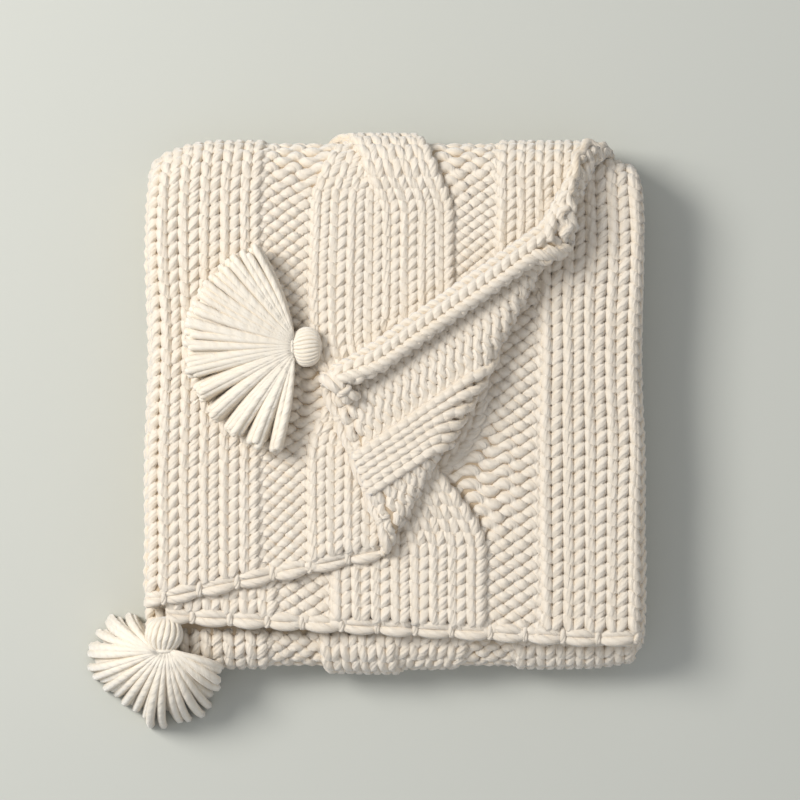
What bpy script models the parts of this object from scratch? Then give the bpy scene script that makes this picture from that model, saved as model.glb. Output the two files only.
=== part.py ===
"""Cable knit throw blanket, folded in thirds both ways, with a tassel on two corners.

The throw lies folded on a surface. X runs to the right, Y to the back and Z up, in metres.
The cloth is modelled flat first, as a slab in (u, c, w): u runs across its width from the free
edge of the top layer, c runs along its length from the front hem, and w runs through its
thickness from the wrong side to the right side. Then its points are carried onto the folds.
"""

import math

import bmesh
import bpy
from mathutils import Vector

MM = 0.001

# Layout of the folded throw, seen from above: 1 px is one step of the layout grid.
PX = 0.888 * MM
GRID_X = 395.0
GRID_Y = 404.0


def grid_x(px):
    """X of a layout column."""
    return (px - GRID_X) * PX


def grid_y(px):
    """Y of a layout row, which counts from the back."""
    return (GRID_Y - px) * PX


# Cloth
THICK = 8.2 * MM
LAYER_GAP = 0.6 * MM
PITCH = THICK + LAYER_GAP
STRIP = 2 * PITCH + THICK  # three layers, one folded strip
STRIP_PITCH = STRIP + LAYER_GAP
HEIGHT = 2 * STRIP_PITCH + STRIP
EDGE_EASE = 1.7 * MM  # how far each face closes in at a hem or side edge
EDGE_BAND = 4.5 * MM

# Fold across the width: top layer, left turn, bottom layer, right turn, middle layer.
LEFT_OUTER = grid_x(146)
RIGHT_OUTER = grid_x(645)
LEFT_RADIUS = PITCH
RIGHT_RADIUS = PITCH / 2
LEFT_AXIS = LEFT_OUTER + LEFT_RADIUS + THICK / 2
RIGHT_AXIS = RIGHT_OUTER - RIGHT_RADIUS - THICK / 2
U_LEFT = 430 * MM  # where the left turn starts
U_BOTTOM = U_LEFT + math.pi * LEFT_RADIUS
U_RIGHT = U_BOTTOM + RIGHT_AXIS - LEFT_AXIS
U_MIDDLE = U_RIGHT + math.pi * RIGHT_RADIUS
U_END = U_MIDDLE + RIGHT_AXIS - grid_x(166)

# Fold along the length: top pass, turn over the back, bottom pass, front turn, inner pass.
BACK_RADIUS = 20 * MM
FRONT_RADIUS = STRIP_PITCH / 2
BACK_AXIS = grid_y(140) - BACK_RADIUS - STRIP / 2
FRONT_AXIS = grid_y(671) + FRONT_RADIUS + STRIP / 2
C_ZERO = 240 * MM  # c minus this is Y on the top pass
C_BACK = BACK_AXIS + C_ZERO
C_DROP = C_BACK + math.pi / 2 * BACK_RADIUS
DROP = 2 * STRIP_PITCH - 2 * BACK_RADIUS
C_RISE = C_DROP + DROP
C_BOTTOM = C_RISE + math.pi / 2 * BACK_RADIUS
C_FRONT = C_BOTTOM + BACK_AXIS - FRONT_AXIS
C_INNER = C_FRONT + math.pi * FRONT_RADIUS
C_END = C_INNER + BACK_AXIS - FRONT_AXIS + 2 * MM

# Front hem: where the cast-on edge lies, layer by layer (u, c).
HEM = (
    {"u": 0.0, "c": grid_y(502) + C_ZERO},
    {"u": U_LEFT, "c": grid_y(606) + C_ZERO},
    {"u": U_BOTTOM, "c": grid_y(609) + C_ZERO},
    {"u": U_RIGHT, "c": grid_y(651) + C_ZERO},
    {"u": U_MIDDLE, "c": grid_y(649) + C_ZERO},
    {"u": U_END, "c": grid_y(624) + C_ZERO},
)

# Free side edge of the top layer along the length (c, x).
SIDE = (
    {"c": 0.0, "x": grid_x(601)},
    {"c": C_BACK, "x": grid_x(612)},
    {"c": C_BOTTOM, "x": grid_x(624)},
    {"c": C_FRONT, "x": grid_x(638)},
    {"c": C_END, "x": grid_x(634)},
)

# Stitch columns: the x of the edge before each column number, on the top and middle layers.
TOP_COLUMNS = (
    {"column": 0, "x": grid_x(600)},
    {"column": 6, "x": grid_x(491)},
    {"column": 9, "x": grid_x(447)},
    {"column": 17, "x": grid_x(308)},
    {"column": 20, "x": grid_x(258)},
    {"column": 26, "x": grid_x(137)},
)
MIDDLE_COLUMNS = (
    {"column": 52, "x": grid_x(657)},
    {"column": 58, "x": grid_x(541)},
    {"column": 61, "x": grid_x(486)},
    {"column": 69, "x": grid_x(332)},
    {"column": 72, "x": grid_x(275)},
    {"column": 78, "x": grid_x(165)},
)
COLUMN = 17 * MM  # width of a stitch
REPEAT = 26  # columns: 6 knit, 3 purl, 8 cable, 3 purl, 6 knit
PURL_FROM, CABLE_FROM, CABLE_TO, PURL_TO = 6, 9, 17, 20
ROW_STEP = 27 * MM  # spacing of the cross lines that carry the relief

# Relief of the knitting on the right side
RIB_VALLEY = 1.9 * MM
PURL_DEPTH = 3.2 * MM
PURL_BACK = 1.6 * MM  # valleys between the ribs that purl columns make on the wrong side
KNIT_BACK = 0.9 * MM
PLAIN_COLUMNS = 1.9  # columns beside the side edge that stay plain on the wrong side
CABLE_RISE = 3.0 * MM
CABLE_DOME = 0.55  # share of its rise that a cable loses at its sides
CROSSING_RISE = 3.4 * MM
CABLE_PERIOD = 222 * MM
CABLE_PINCH = 0.30
CROSSING_LENGTH = 34 * MM
TOP_CROSSING = grid_y(391) + C_ZERO
MIDDLE_CROSSING = grid_y(478) + C_ZERO
FRONT_RELIEF = (C_FRONT + 2 * MM, C_FRONT + 14 * MM)  # where it sets in, clear of the surface below
INNER_RELIEF = (C_INNER - 8 * MM, C_INNER)  # and where it ends

# Turned-back corner of the top layer: its fold runs from the back edge to the front.
FLAP_BACK = Vector((grid_x(611), C_BACK + 15 * MM))
FLAP_FRONT = Vector((grid_x(389), grid_y(556) + C_ZERO))
FLAP_RADIUS = 7.0 * MM
FLAP_REST = THICK + 2.2 * MM  # rise of the flap's middle once it lies down
FLAP_SETTLE = 70 * MM
ROLL_RADIUS = 8.6 * MM
ROLL_WIDTH = 34 * MM
RIM = 25 * MM  # the top layer is finely cut this far in under the flap
BARE_RIM = (4 * MM, 26 * MM)  # where the middle layer's relief sets in beside the top layer

# Unevenness
CORNER_BAND = (150 * MM, 226 * MM)
CORNER_PULL = 15 * MM
CORNER_PUSH = 6 * MM
SIDE_BAND = (120 * MM, 220 * MM)
BACK_NARROWING = 0.022
EDGE_WAVE = 1.6 * MM
PASS_WAVE = 2.2 * MM
HEIGHT_WAVE = 0.018

# Tassels: a head of four-sided rings and a block of cut yarn, as locks in columns and layers
LOCK_HIGH = 4.3 * MM
LOCK_WIDE = 6.6 * MM
ROOT = 1.3 * MM
HEAD_RINGS = 7
COLUMNS = 14
LAYERS = 4
UPPER = {
    "segments": 3,
    "neck_x": grid_x(293),
    "neck_y": grid_y(347),
    "neck_z": HEIGHT + 10.5 * MM,
    "length": 25 * MM,
    "half_y": 17 * MM,
    "half_z": 11 * MM,
    "neck_share": 0.66,
    "first_angle": math.radians(110),
    "fan": math.radians(152),
    "radius": 90 * MM,
    "lowest_tip": HEIGHT + 2.2 * MM,
    "tip_step": 4.9 * MM,
}
LOWER = {
    "segments": 4,
    "neck_x": grid_x(163),
    "neck_y": grid_y(651.5),
    "neck_z": 2 * STRIP_PITCH + 12.6 * MM,
    "length": 20.5 * MM,
    "half_y": 14.5 * MM,
    "half_z": 12 * MM,
    "neck_share": 0.68,
    "first_angle": math.radians(153),
    "fan": math.radians(188),
    "radius": 68 * MM,
    "layer_step": 9 * MM,
    "perch_angles": (math.radians(314), math.radians(328)),  # locks that stay up on the front fold
    "perch": 46 * MM,
    "floor": 0.1 * MM,
}


def clear_scene():
    """Remove every object."""
    for obj in list(bpy.data.objects):
        bpy.data.objects.remove(obj, do_unlink=True)


def smooth(low, high, value):
    """0 below low, 1 above high, and an eased step between."""
    part = min(1.0, max(0.0, (value - low) / (high - low)))
    return part * part * (3 - 2 * part)


def along(table, key, other, value):
    """The column named other at this value of the column named key, read straight between rows."""
    rows = sorted(table, key=lambda row: row[key])
    if value <= rows[0][key]:
        return rows[0][other]
    for before, after in zip(rows, rows[1:]):
        if value <= after[key]:
            share = (value - before[key]) / (after[key] - before[key])
            return before[other] + share * (after[other] - before[other])
    return rows[-1][other]


def side_edge(c):
    """u of the top layer's free edge."""
    return U_LEFT - (along(SIDE, "c", "x", c) - LEFT_AXIS)


def hem_edge(u):
    """c of the front hem."""
    return along(HEM, "u", "c", u)


def column_at(u):
    """Stitch column of a place across the width, counted from the top layer's free edge."""
    if u < U_BOTTOM:
        return along(TOP_COLUMNS, "x", "column", LEFT_AXIS + U_LEFT - u)
    if u > U_RIGHT:
        return along(MIDDLE_COLUMNS, "x", "column", RIGHT_AXIS + U_MIDDLE - u)
    return 26 + 26 * (u - U_BOTTOM) / (U_RIGHT - U_BOTTOM)


def top_u(x):
    """u of an x on the top layer."""
    return U_LEFT + LEFT_AXIS - x


def middle_u(x):
    """u of an x on the middle layer."""
    return U_MIDDLE + RIGHT_AXIS - x


def crossing_away(u, c):
    """Distance along the length from the nearest cable crossing."""
    start = TOP_CROSSING if u < U_BOTTOM else MIDDLE_CROSSING
    return (c - start + CABLE_PERIOD / 2) % CABLE_PERIOD - CABLE_PERIOD / 2


def crossing_near(u, c):
    """1 at a cable crossing, falling to 0 away from it."""
    return math.exp(-((crossing_away(u, c) / CROSSING_LENGTH) ** 2))


def flap_frame():
    """A point on the fold's axis, the way along it, and the way out over the folded part."""
    way = (FLAP_FRONT - FLAP_BACK).normalized()
    out = Vector((-way.y, way.x))
    return FLAP_BACK - out * (FLAP_RADIUS + THICK / 2), way, out


def past_flap(x, c):
    """How far a place on the top layer lies past the axis of the corner's fold."""
    origin, _, out = flap_frame()
    return (Vector((x, c)) - origin).dot(out)


def bare_middle(u, c):
    """1 where the middle layer shows beside the top layer, 0 well under it."""
    x = RIGHT_AXIS - (u - U_MIDDLE)
    beside = past_flap(x, c) - FLAP_RADIUS - THICK / 2
    left_of_flap = x < FLAP_FRONT.x + 4 * FLAP_RADIUS
    before = hem_edge(top_u(x)) - c if left_of_flap else -1.0
    return smooth(*BARE_RIM, max(beside, before))


def relief(u, c):
    """Height of the right side over the cloth's mean face."""
    column = column_at(u) % REPEAT
    if u > U_BOTTOM:
        show = bare_middle(u, c) if u > U_RIGHT else 0.0
    else:
        show = 1 - smooth(C_RISE, C_BOTTOM, c) + smooth(*FRONT_RELIEF, c)
        show *= 1 - smooth(*INNER_RELIEF, c)
    if show <= 0.0:
        return 0.0
    rib = -RIB_VALLEY * abs(math.cos(math.pi * column))
    if CABLE_FROM <= column <= CABLE_TO:
        height = cable_height(column, u, c) + rib
        if u < U_LEFT and under_flap(LEFT_AXIS + U_LEFT - u, c):
            height = min(height, FLAP_REST - THICK - LAYER_GAP)
    elif PURL_FROM <= column <= PURL_TO:
        height = -PURL_DEPTH + 0.15 * rib
    else:
        height = rib
    return height * show


def cable_height(column, u, c):
    """Domed height of a cable, with the strand that crosses in front standing higher."""
    across = (column - CABLE_FROM) / (CABLE_TO - CABLE_FROM) * 2 - 1
    dome = 1 - CABLE_DOME * across * across
    near = crossing_near(u, c)
    front = math.exp(-(((across + crossing_away(u, c) / CROSSING_LENGTH) / 0.5) ** 2))
    return dome * (CABLE_RISE + CROSSING_RISE * near) + CROSSING_RISE * 0.5 * near * front


def pull_in(u, c):
    """Sideways shift in u that draws a cable together at its crossing."""
    if U_BOTTOM <= u <= U_RIGHT:
        return 0.0
    away = column_at(u) % REPEAT - (CABLE_FROM + CABLE_TO) / 2
    half = (CABLE_TO - CABLE_FROM) / 2
    fade = 1 - smooth(1.0, 1.7, abs(away) / half)
    return -away * COLUMN * CABLE_PINCH * fade * crossing_near(u, c)


def under_flap(x, c):
    """Whether the turned-back corner lies over this place of the top layer."""
    origin, _, out = flap_frame()
    past = past_flap(x, c)
    if past > 0:
        return False
    there = Vector((x, c)) + out * (math.pi * FLAP_RADIUS - 2 * past)
    inside_side = there.x < along(SIDE, "c", "x", there.y) + 3 * MM
    return inside_side and there.y > hem_edge(top_u(there.x)) - 3 * MM


def ease(u, c, up):
    """How far the face closes in near an open edge."""
    near = min(
        u - side_edge(c),
        U_END - u,
        c - hem_edge(u),
        C_END - c,
    )
    return EDGE_EASE * (1 - smooth(0.0, EDGE_BAND * 0.9, near)) * (-1 if up else 1)


def roll_edge(u, c, height):
    """The free edge of the flap curls over its wrong side: shift along x, and new height."""
    past = past_flap(along(SIDE, "c", "x", c), c) - math.pi * FLAP_RADIUS
    full = smooth(0.0, 60 * MM, past) * (0.55 + 0.45 * smooth(0.0, 45 * MM, c - hem_edge(0.0)))
    reach = ROLL_WIDTH - (u - side_edge(c))
    if full < 0.02 or reach <= 0 or c > C_BACK + 60 * MM:
        return 0.0, height
    radius = ROLL_RADIUS / full
    turn = reach / radius
    return (radius + height) * math.sin(turn) - reach, (radius + height) * math.cos(turn) - radius


def fold_corner(x, c, height):
    """Carry a place of the top layer round the corner's fold: new x, c and rise over the layer."""
    _, _, out = flap_frame()
    past = past_flap(x, c)
    if past <= 0:
        return x, c, height
    if past < math.pi * FLAP_RADIUS:
        turn = past / FLAP_RADIUS
        reach = (FLAP_RADIUS - height) * math.sin(turn)
        rise = FLAP_RADIUS - FLAP_RADIUS * math.cos(turn) + height * math.cos(turn)
    else:
        beyond = past - math.pi * FLAP_RADIUS
        settle = smooth(0.0, FLAP_SETTLE, beyond)
        reach = -beyond
        rise = 2 * FLAP_RADIUS + (FLAP_REST - 2 * FLAP_RADIUS) * settle - height
    moved = Vector((x, c)) + out * (reach - past)
    return moved.x, moved.y, rise


def knit_relief(mesh):
    """Raise the knitting on the flat cloth's faces, thin its open edges and draw its cables in."""
    for vert in mesh.verts:
        u, c, w = vert.co
        right_side = w > THICK / 2
        w += ease(u, c, right_side) + (relief(u, c) if right_side else flap_relief(u, c))
        vert.co = (u + pull_in(u, c), c, w)


def across_width(u, c, w):
    """x, c and height in the strip for a place of the cloth."""
    height = w - THICK / 2
    top = STRIP - THICK / 2
    if u < U_LEFT:
        x = LEFT_AXIS + (U_LEFT - u)
        if c < C_RISE:
            moved, height = roll_edge(u, c, height)
            x, c, height = fold_corner(x + moved, c, height)
        return x, c, top + height
    if u < U_BOTTOM:
        turn = (u - U_LEFT) / LEFT_RADIUS
        out = LEFT_RADIUS + height
        return LEFT_AXIS - out * math.sin(turn), c, THICK / 2 + LEFT_RADIUS + out * math.cos(turn)
    if u < U_RIGHT:
        return LEFT_AXIS + (u - U_BOTTOM), c, THICK / 2 - height
    if u < U_MIDDLE:
        turn = (u - U_RIGHT) / RIGHT_RADIUS
        out = RIGHT_RADIUS + height
        return RIGHT_AXIS + out * math.sin(turn), c, THICK / 2 + RIGHT_RADIUS - out * math.cos(turn)
    return RIGHT_AXIS - (u - U_MIDDLE), c, THICK / 2 + PITCH + height


def along_length(c, height):
    """Y and Z of a place in the folded strip."""
    out = height - STRIP / 2
    high = 2 * STRIP_PITCH + STRIP / 2
    low = STRIP / 2
    if c < C_BACK:
        return c - C_ZERO, high + out
    if c < C_DROP:
        turn = (c - C_BACK) / BACK_RADIUS
        reach = BACK_RADIUS + out
        return BACK_AXIS + reach * math.sin(turn), high - BACK_RADIUS + reach * math.cos(turn)
    if c < C_RISE:
        return BACK_AXIS + BACK_RADIUS + out, high - BACK_RADIUS - (c - C_DROP)
    if c < C_BOTTOM:
        turn = (c - C_RISE) / BACK_RADIUS
        reach = BACK_RADIUS + out
        return BACK_AXIS + reach * math.cos(turn), low + BACK_RADIUS - reach * math.sin(turn)
    if c < C_FRONT:
        return BACK_AXIS - (c - C_BOTTOM), low - out
    if c < C_INNER:
        turn = (c - C_FRONT) / FRONT_RADIUS
        reach = FRONT_RADIUS + out
        return FRONT_AXIS - reach * math.sin(turn), low + FRONT_RADIUS - reach * math.cos(turn)
    return FRONT_AXIS + (c - C_INNER), low + STRIP_PITCH + out


def settle(x, y, z):
    """Soft unevenness of the whole fold: drawn-in corners, wavy sides and a gently uneven top."""
    back = smooth(grid_y(250), grid_y(140), y)
    front = smooth(grid_y(600), grid_y(672), y)
    corner = smooth(*CORNER_BAND, abs(x))
    new_y = y - corner * corner * CORNER_PULL * back + corner * corner * CORNER_PUSH * front
    wave = math.sin(y * 19 + 0.6) * EDGE_WAVE + math.sin(y * 41) * EDGE_WAVE * 0.4
    wave += math.sin(z * 95 + y * 5 + (1.0 if x < 0 else 2.6)) * PASS_WAVE
    new_x = x + wave * smooth(*SIDE_BAND, abs(x)) * (1 if x < 0 else -0.8)
    new_x -= x * BACK_NARROWING * back * back
    new_z = z * (1 + HEIGHT_WAVE * (math.sin(x * 14 + 1) * math.cos(y * 12) - 0.4 * corner))
    return Vector((new_x, new_y, new_z))


def carry(point):
    """Place of a point of the flat cloth on the folded throw."""
    x, c, height = across_width(point.x, point.y, point.z)
    y, z = along_length(c, height)
    return settle(x, y, z)


def cut(mesh, faces, place, normal):
    """Cut these faces by one upright plane and return the faces that they became."""
    parts = set(faces)
    for face in faces:
        parts.update(face.edges)
        parts.update(face.verts)
    made = bmesh.ops.bisect_plane(
        mesh, geom=list(parts), dist=1e-7, plane_co=(*place, 0), plane_no=(*normal, 0)
    )
    return [item for item in made["geom"] if isinstance(item, bmesh.types.BMFace)]


def steps(low, high, count):
    """count places from low to high, both ends too."""
    return [low + (high - low) * i / (count - 1) for i in range(count)]


def spaced(low, high, pitch):
    """Places between two ends, about pitch apart, without the ends."""
    count = max(1, round((high - low) / pitch))
    return [low + (high - low) * i / count for i in range(1, count)]


def flat_cloth():
    """The cloth as a flat slab with its outline."""
    mesh = bmesh.new()
    bmesh.ops.create_cube(mesh, size=1.0)
    for vert in mesh.verts:
        vert.co.x = (vert.co.x + 0.5) * U_END
        vert.co.y = (vert.co.y + 0.5) * C_END
        vert.co.z = (vert.co.z + 0.5) * THICK
    for row in HEM[1:-1]:
        cut(mesh, mesh.faces[:], (row["u"], 0), (1, 0))
    for row in SIDE[1:-1]:
        cut(mesh, mesh.faces[:], (0, row["c"]), (0, 1))
    for vert in mesh.verts:
        at_side = vert.co.x < 1e-6
        at_hem = vert.co.y < 1e-6
        if at_side:
            vert.co.x = side_edge(vert.co.y)
        if at_hem:
            vert.co.y = hem_edge(vert.co.x)
    return mesh


def turn_lines():
    """Lines across the whole cloth that let it bend: places in u and in c."""
    in_u = steps(U_LEFT, U_BOTTOM, 7)[1:-1] + steps(U_RIGHT, U_MIDDLE, 6)[1:-1]
    in_u += spaced(U_BOTTOM, U_RIGHT, 70 * MM) + spaced(U_MIDDLE, U_END, 80 * MM)
    in_u += spaced(0, U_LEFT, 72 * MM) + [U_END - EDGE_BAND]
    in_c = steps(C_BACK, C_DROP, 6)[:-1] + steps(C_DROP, C_RISE, 2) + steps(C_RISE, C_BOTTOM, 5)[1:-1]
    in_c += steps(C_FRONT, C_INNER, 9)[1:]
    in_c += spaced(HEM[0]["c"], C_BACK, 75 * MM) + spaced(C_BOTTOM, C_FRONT, 70 * MM)
    in_c += spaced(C_INNER, C_END, 70 * MM) + [C_END - EDGE_BAND]
    return in_u, in_c


def column_lines(first, last):
    """u of each column's edge and middle between two columns of the top or middle layer."""
    table, place = (TOP_COLUMNS, top_u) if last <= 26 else (MIDDLE_COLUMNS, middle_u)
    halves = range(2 * first, 2 * last + 1)
    return [place(along(table, "column", "x", half / 2)) for half in halves]


def cut_lines(mesh, faces, in_u, in_c):
    """Cut these faces along lines across the width and along the length."""
    for u in in_u:
        faces = cut(mesh, faces, (u, 0), (1, 0))
    for c in in_c:
        faces = cut(mesh, faces, (0, c), (0, 1))
    return faces


def centre_of(face):
    """u and c of a face's centre."""
    middle = face.calc_center_median()
    return middle.x, middle.y


def face_side(mesh, right_side, wanted):
    """Faces of one side of the cloth with a corner or the centre in the wanted part."""
    level = THICK if right_side else 0.0
    found = []
    for face in mesh.faces:
        middle = face.calc_center_median()
        if abs(middle.z - level) > 1e-6:
            continue
        places = [middle] + [vert.co.lerp(middle, 0.12) for vert in face.verts]
        if any(wanted(place.x, place.y) for place in places):
            found.append(face)
    return found


def cut_hems(mesh):
    """A line just inside each open edge, where the cloth reaches its full thickness."""
    for before, after in zip(HEM, HEM[1:]):
        run = Vector((after["u"] - before["u"], after["c"] - before["c"]))
        faces = [
            face for face in mesh.faces
            if before["u"] < centre_of(face)[0] < after["u"] and centre_of(face)[1] < C_BACK - RIM
        ]
        cut(mesh, faces, (before["u"], before["c"] + EDGE_BAND), (-run.y, run.x))
    for before, after in zip(SIDE, SIDE[1:]):
        start = Vector((side_edge(before["c"]), before["c"]))
        run = Vector((side_edge(after["c"]), after["c"])) - start
        places = (EDGE_BAND,)
        if after["c"] == C_BACK:
            places = tuple(spaced(0, ROLL_WIDTH, 5.5 * MM)) + (ROLL_WIDTH,)
        for inside in places:
            faces = [
                face for face in mesh.faces
                if before["c"] < centre_of(face)[1] < after["c"] and centre_of(face)[0] < top_u(0)
            ]
            cut(mesh, faces, (start.x + inside, start.y), (run.y, -run.x))


def cut_flap(mesh):
    """Lines along the corner's fold, through both faces of the top layer."""
    origin, _, out = flap_frame()
    turn = math.pi * FLAP_RADIUS
    for past in steps(0, turn, 7) + [turn + share * FLAP_SETTLE for share in (0.29, 0.64, 1)]:
        place = origin + out * past
        faces = [f for f in mesh.faces if centre_of(f)[0] < U_LEFT and centre_of(f)[1] < C_RISE]
        cut(mesh, faces, (top_u(place.x), place.y), (-out.x, out.y))


def cut_windows(mesh):
    """Finer lines where the knitting shows."""
    rows = spaced(HEM[3]["c"], C_BACK, ROW_STEP)

    def top_shows(u, c):
        x = LEFT_AXIS + U_LEFT - u
        open_above = past_flap(x, c) < FLAP_RADIUS and not deep_under_flap(x, c)
        return u < U_BOTTOM and c < C_BOTTOM and (u > U_LEFT or open_above)

    def middle_shows(u, c):
        return u > U_RIGHT and c < C_DROP and bare_middle(u, c) > 0.1

    def front_shows(u, c):
        return u < U_BOTTOM and C_FRONT + 5.5 * MM < c < C_INNER

    def flap_shows(u, c):
        turned = past_flap(LEFT_AXIS + U_LEFT - u, c) > math.pi * FLAP_RADIUS
        return u < U_LEFT and c < C_BACK + BACK_RADIUS and turned

    cut_lines(mesh, face_side(mesh, True, top_shows), column_lines(0, 26), rows)
    near_crossing = [MIDDLE_CROSSING - CROSSING_LENGTH / 3, MIDDLE_CROSSING + CROSSING_LENGTH / 3]
    cut_lines(mesh, face_side(mesh, True, middle_shows), column_lines(52, 78), rows + near_crossing)
    cut_lines(mesh, face_side(mesh, True, front_shows), column_lines(0, 26), [])
    cut_lines(mesh, face_side(mesh, False, flap_shows), column_lines(2, 16), rows[::2])


def deep_under_flap(x, c):
    """Whether a place lies under the turned-back corner and well in from its rim."""
    return all(under_flap(x + dx, c + dc) for dx in (-RIM, RIM) for dc in (-RIM, RIM))


def flap_relief(u, c):
    """Height on the wrong side, which shows on the turned-back corner, where purl backs are ribs."""
    x = LEFT_AXIS + U_LEFT - u
    if u > U_LEFT or c > C_BACK or past_flap(x, c) < math.pi * FLAP_RADIUS:
        return 0.0
    column = column_at(u) % REPEAT
    if column < PLAIN_COLUMNS:
        return 0.0
    if PURL_FROM <= column <= CABLE_FROM:
        return -PURL_BACK * abs(math.sin(math.pi * column))
    return KNIT_BACK * abs(math.cos(math.pi * column))


def knitted_throw():
    """The whole cloth: cut while flat, given its relief, then folded."""
    mesh = flat_cloth()
    in_u, in_c = turn_lines()
    cut_lines(mesh, mesh.faces[:], in_u, in_c)
    cut_hems(mesh)
    cut_flap(mesh)
    cut_windows(mesh)
    bmesh.ops.remove_doubles(mesh, verts=mesh.verts[:], dist=0.00002)
    knit_relief(mesh)
    bmesh.ops.triangulate(mesh, faces=mesh.faces[:], quad_method="BEAUTY", ngon_method="BEAUTY")
    bmesh.ops.recalc_face_normals(mesh, faces=mesh.faces[:])
    for vert in mesh.verts:
        vert.co = carry(vert.co)
    bmesh.ops.reverse_faces(mesh, faces=mesh.faces[:])
    return finished("knitted_throw", mesh)


def finished(name, mesh):
    """Object from a mesh, shaded smooth."""
    data = bpy.data.meshes.new(name)
    mesh.to_mesh(data)
    mesh.free()
    data.shade_smooth()
    obj = bpy.data.objects.new(name, data)
    bpy.context.scene.collection.objects.link(obj)
    return obj


def tassel_block(columns, layers, rings, segments):
    """A tassel in its own lattice: a block, and a strand out of each cell of its far face."""
    mesh = bmesh.new()
    bmesh.ops.create_cube(mesh, size=2.0)
    planes = [((-1 + 2 * i / columns, 0, 0), (1, 0, 0)) for i in range(1, columns)]
    planes += [((0, -1 + 2 * i / layers, 0), (0, 1, 0)) for i in range(1, layers)]
    planes += [((0, 0, -1 + 2 * i / rings), (0, 0, 1)) for i in range(1, rings)]
    for place, normal in planes:
        whole = mesh.verts[:] + mesh.edges[:] + mesh.faces[:]
        bmesh.ops.bisect_plane(mesh, geom=whole, dist=1e-6, plane_co=place, plane_no=normal)
    roots = [face for face in mesh.faces if face.calc_center_median().z > 1 - 1e-6]
    bmesh.ops.inset_individual(mesh, faces=roots, thickness=0.16 / columns)
    for _ in range(segments):
        made = bmesh.ops.extrude_discrete_faces(mesh, faces=roots)
        roots = made["faces"]
        for face in roots:
            for vert in face.verts:
                vert.co.z += 1.0
    bmesh.ops.recalc_face_normals(mesh, faces=mesh.faces[:])
    return mesh


def cell_of(value, count):
    """Centre of the cell that a lattice value lies in, and the place inside it from -1 to 1."""
    index = min(count - 1, max(0, int((value + 1) / 2 * count)))
    middle = -1 + (2 * index + 1) / count
    return index, middle, (value - middle) * count


def head_point(co, sizes):
    """Place of a block point on the head: x is along the tassel, y and z across it."""
    disc_y = co.x * math.sqrt(1 - co.y * co.y / 2)
    disc_z = co.y * math.sqrt(1 - co.x * co.x / 2)
    part = (co.z + 1) / 2
    swell = math.sqrt(max(0.0, 1 - (1.62 * part - 0.72) ** 2)) if part < 0.9 else 0.0
    swell = max(swell, sizes["neck_share"])
    dome = 0.22 * (1 - disc_y**2 - disc_z**2) if co.z < -1 + 1e-6 else 0.0
    reach = sizes["length"] * (part - dome)
    return Vector((reach, disc_y * sizes["half_y"] * swell, disc_z * sizes["half_z"] * swell))


def shape_tassel(name, sizes, place_head, strand_point):
    """Carry a tassel's lattice onto its head and strands."""
    mesh = tassel_block(COLUMNS, LAYERS, HEAD_RINGS, sizes["segments"])
    for vert in mesh.verts:
        co = vert.co.copy()
        if co.z <= 1 + 1e-6:
            vert.co = place_head(co)
            continue
        column, _, inside_a = cell_of(co.x, COLUMNS)
        layer, _, inside_b = cell_of(co.y, LAYERS)
        run = (co.z - 1) / sizes["segments"]
        across = Vector((math.copysign(1, inside_a), math.copysign(1, inside_b)))
        vert.co = strand_point(column, layer, run, across)
    bmesh.ops.triangulate(mesh, faces=mesh.faces[:])
    return finished(name, mesh)


def fan_angle(column, layer, sizes):
    """Way that a lock points: each layer's locks lie between those of the next."""
    share = (column + 0.25 * ((layer * 3) % 4) + 0.1) / (COLUMNS - 0.05)
    return sizes["first_angle"] + sizes["fan"] * share


def trimmed(column, layer):
    """Uneven length of a lock: 0 for a full one, up to 3 for the shortest."""
    return (column * 5 + layer * 3) % 4


def bezier(points, t):
    """Place on the curve that starts at the first point, bends to the second and ends at the third."""
    a, b, c = points
    return a * (1 - t) ** 2 + b * 2 * t * (1 - t) + c * t * t


def lock_corner(points, run, across):
    """A corner of a four-sided lock round its path: thin at the root and broad at the tip."""
    here = bezier(points, run)
    way = (bezier(points, min(1, run + 0.02)) - bezier(points, max(0, run - 0.02))).normalized()
    flat = Vector((-way.y, way.x, 0)).normalized()
    up = flat.cross(way) * -1
    if up.z < 0:
        up = -up
    wide = ROOT + (LOCK_WIDE - ROOT) * smooth(-0.1, 0.75, run)
    high = ROOT + (LOCK_HIGH - ROOT) * smooth(0.0, 0.4, run)
    return here + flat * (across.x * wide / 2) + up * (across.y * high / 2)


def tassel_upper():
    """The tassel on the turned-back corner: it lies on the cloth and fans out to the left."""
    sizes = UPPER
    neck = Vector((sizes["neck_x"], sizes["neck_y"], sizes["neck_z"]))

    def place_head(co):
        spot = head_point(co, sizes)
        return Vector((neck.x + sizes["length"] - spot.x, neck.y - spot.y, neck.z + spot.z))

    def strand_point(column, layer, run, across):
        angle = fan_angle(column, layer, sizes)
        length = sizes["radius"] * (1 - 0.035 * trimmed(column, layer))
        tip = Vector((neck.x + length * math.cos(angle), neck.y + length * math.sin(angle), 0))
        tip.z = sizes["lowest_tip"] + sizes["tip_step"] * layer
        height = (layer - (LAYERS - 1) / 2) / (LAYERS / 2)
        side_way = 1 - 2 * (column + 0.5) / COLUMNS
        root = neck + Vector((-0.3 * MM, side_way * 9.6 * MM, height * 7.2 * MM))
        middle = root.lerp(tip, 0.34) + Vector((-7 * MM, 0, 0))
        middle.z = neck.z + height * 8.5 * MM
        return lock_corner((root, middle, tip), run, across)

    return shape_tassel("tassel_upper", sizes, place_head, strand_point)


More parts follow.
